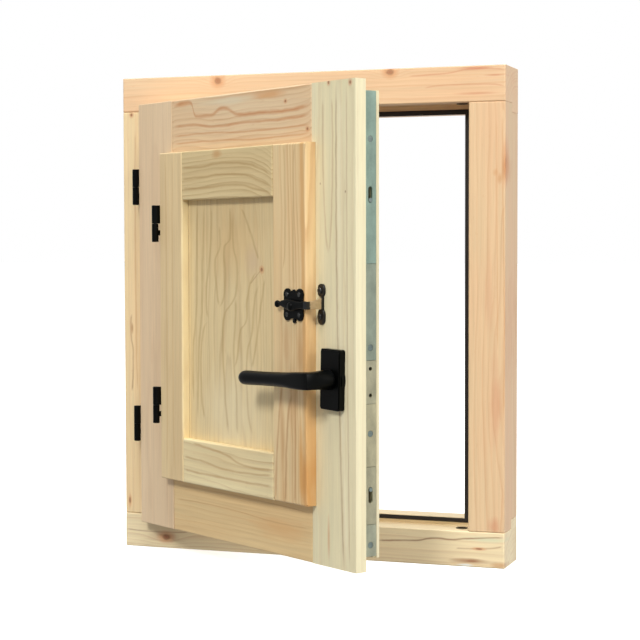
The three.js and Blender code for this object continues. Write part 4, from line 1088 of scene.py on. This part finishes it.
def make_gasket():
    """A bulb seal round the stop: a flat foot on its face and a lip over its edge."""
    low, high = (Vector(corner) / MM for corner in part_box("frame_gasket"))
    sill, head = low.z - SILL_DROP, high.z
    corners = [  # x, z, the ways inward, how far the lip may reach
        (low.x, sill, 1, 1, SILL_LIP), (high.x, sill, -1, 1, SILL_LIP),
        (high.x, head, -1, -1, HEAD_LIP), (low.x, head, 1, -1, HEAD_LIP),
    ]
    rings = []
    for x, z, in_x, in_z, lip in corners:
        rings.append([
            Vector((x + in_x * (BAR_WIDTH - out), y, z + in_z * (BAR_WIDTH - max(out, lip)))) * MM
            for out, y in SEAL_PROFILE
        ])
    parts = [ring_mesh(rings, closed_along=True)]
    new_piece("bulb_seal", parts, RUBBER, "frame", "rubber", "frame_gasket")


make_lever()
make_latch_bar()
make_keeper()
make_gasket()


# ------------------------------------------------------------ floor, light, camera

FLOOR_SIZE = 60
FLOOR_WHITE = (0.96, 0.96, 0.96, 1)
FLOOR_GLOW = 0.55
LIT_POINT = Vector((0, -0.1, 0.3))
LIGHT_DISTANCE = 7.0
LIGHTS = [  # name, direction from the window, disk's diameter, power, colour
    ("key", (-0.06, -1.22, 0.83), 1.5, 245, (1.0, 0.99, 0.96)),
    ("side", (1.3, -0.75, 0.5), 2.6, 185, (1.0, 0.98, 0.94)),
    ("top", (0.1, -0.25, 1.0), 2.6, 290, (1, 1, 1)),
]
BACKDROP_FROM, BACKDROP_TO = 0.1, 0.7  # the directions' Y between which the room turns white
ROOM_LEVEL, BACKDROP_LEVEL = 0.36, 1.0
CAMERA_TURN = (19.652, 2.548, -0.123)  # yaw, pitch and roll in degrees
CAMERA_PLACE = (725.28, -2016.09, 388.78)  # row mm
CAMERA_LENS = 96.228  # on a sensor 36 mm wide
CAMERA_SENSOR = 36


def make_floor():
    """A pale floor that shows to the camera and lights nothing."""
    bpy.ops.mesh.primitive_plane_add(size=FLOOR_SIZE, location=(0, 0, 0))
    floor = bpy.context.object
    floor.name = "studio_floor"
    floor.visible_diffuse = False
    floor.visible_glossy = False
    t = Tree("floor_white")
    t.surface("Base Color", FLOOR_WHITE)
    t.surface("Roughness", 0.9)
    t.surface("Specular IOR Level", 0.0)
    t.surface("Emission Color", (1, 1, 1, 1))
    t.surface("Emission Strength", FLOOR_GLOW)
    floor.data.materials.append(t.material)


def area_light(name, direction, size, power, colour):
    toward = Vector(direction).normalized()
    data = bpy.data.lights.new(name, "AREA")
    data.shape = "DISK"
    data.size = size
    data.energy = power
    data.color = colour
    lamp = bpy.data.objects.new(name, data)
    lamp.location = LIT_POINT + toward * LIGHT_DISTANCE
    lamp.rotation_mode = "QUATERNION"
    lamp.rotation_quaternion = toward.to_track_quat("Z", "Y")
    bpy.context.scene.collection.objects.link(lamp)


def make_world():
    """A white backdrop behind the window, and a dimmer room in front of it."""
    world = bpy.data.worlds.new("studio")
    bpy.context.scene.world = world
    world.use_nodes = True
    nodes, links = world.node_tree.nodes, world.node_tree.links
    apart = nodes.new("ShaderNodeSeparateXYZ")
    links.new(nodes.new("ShaderNodeTexCoord").outputs["Generated"], apart.inputs[0])
    level = nodes.new("ShaderNodeMapRange")
    level.interpolation_type = "SMOOTHSTEP"
    links.new(apart.outputs["Y"], level.inputs[0])
    limits = (BACKDROP_FROM, BACKDROP_TO, ROOM_LEVEL, BACKDROP_LEVEL)
    for socket, value in zip(level.inputs[1:5], limits):
        socket.default_value = value
    background = nodes["Background"]
    background.inputs["Color"].default_value = (1, 1, 1, 1)
    links.new(level.outputs[0], background.inputs["Strength"])


def make_camera():
    yaw, pitch, roll = (math.radians(angle) for angle in CAMERA_TURN)
    across = math.cos(pitch)
    forward = Vector((-math.sin(yaw) * across, math.cos(yaw) * across, -math.sin(pitch)))
    right = Vector((math.cos(yaw), math.sin(yaw), 0))
    right = right * math.cos(roll) + right.cross(forward) * math.sin(roll)
    up = right.cross(forward)
    data = bpy.data.cameras.new("camera")
    data.sensor_width = CAMERA_SENSOR
    data.lens = CAMERA_LENS
    data.clip_end = FLOOR_SIZE
    camera = bpy.data.objects.new("camera", data)
    camera.rotation_mode = "QUATERNION"
    camera.rotation_quaternion = Matrix((right, up, -forward)).transposed().to_quaternion()
    camera.location = Vector(CAMERA_PLACE) * MM
    bpy.context.scene.collection.objects.link(camera)
    bpy.context.scene.camera = camera


make_floor()
make_world()
for light in LIGHTS:
    area_light(*light)
make_camera()
bpy.context.scene.view_settings.view_transform = "Standard"
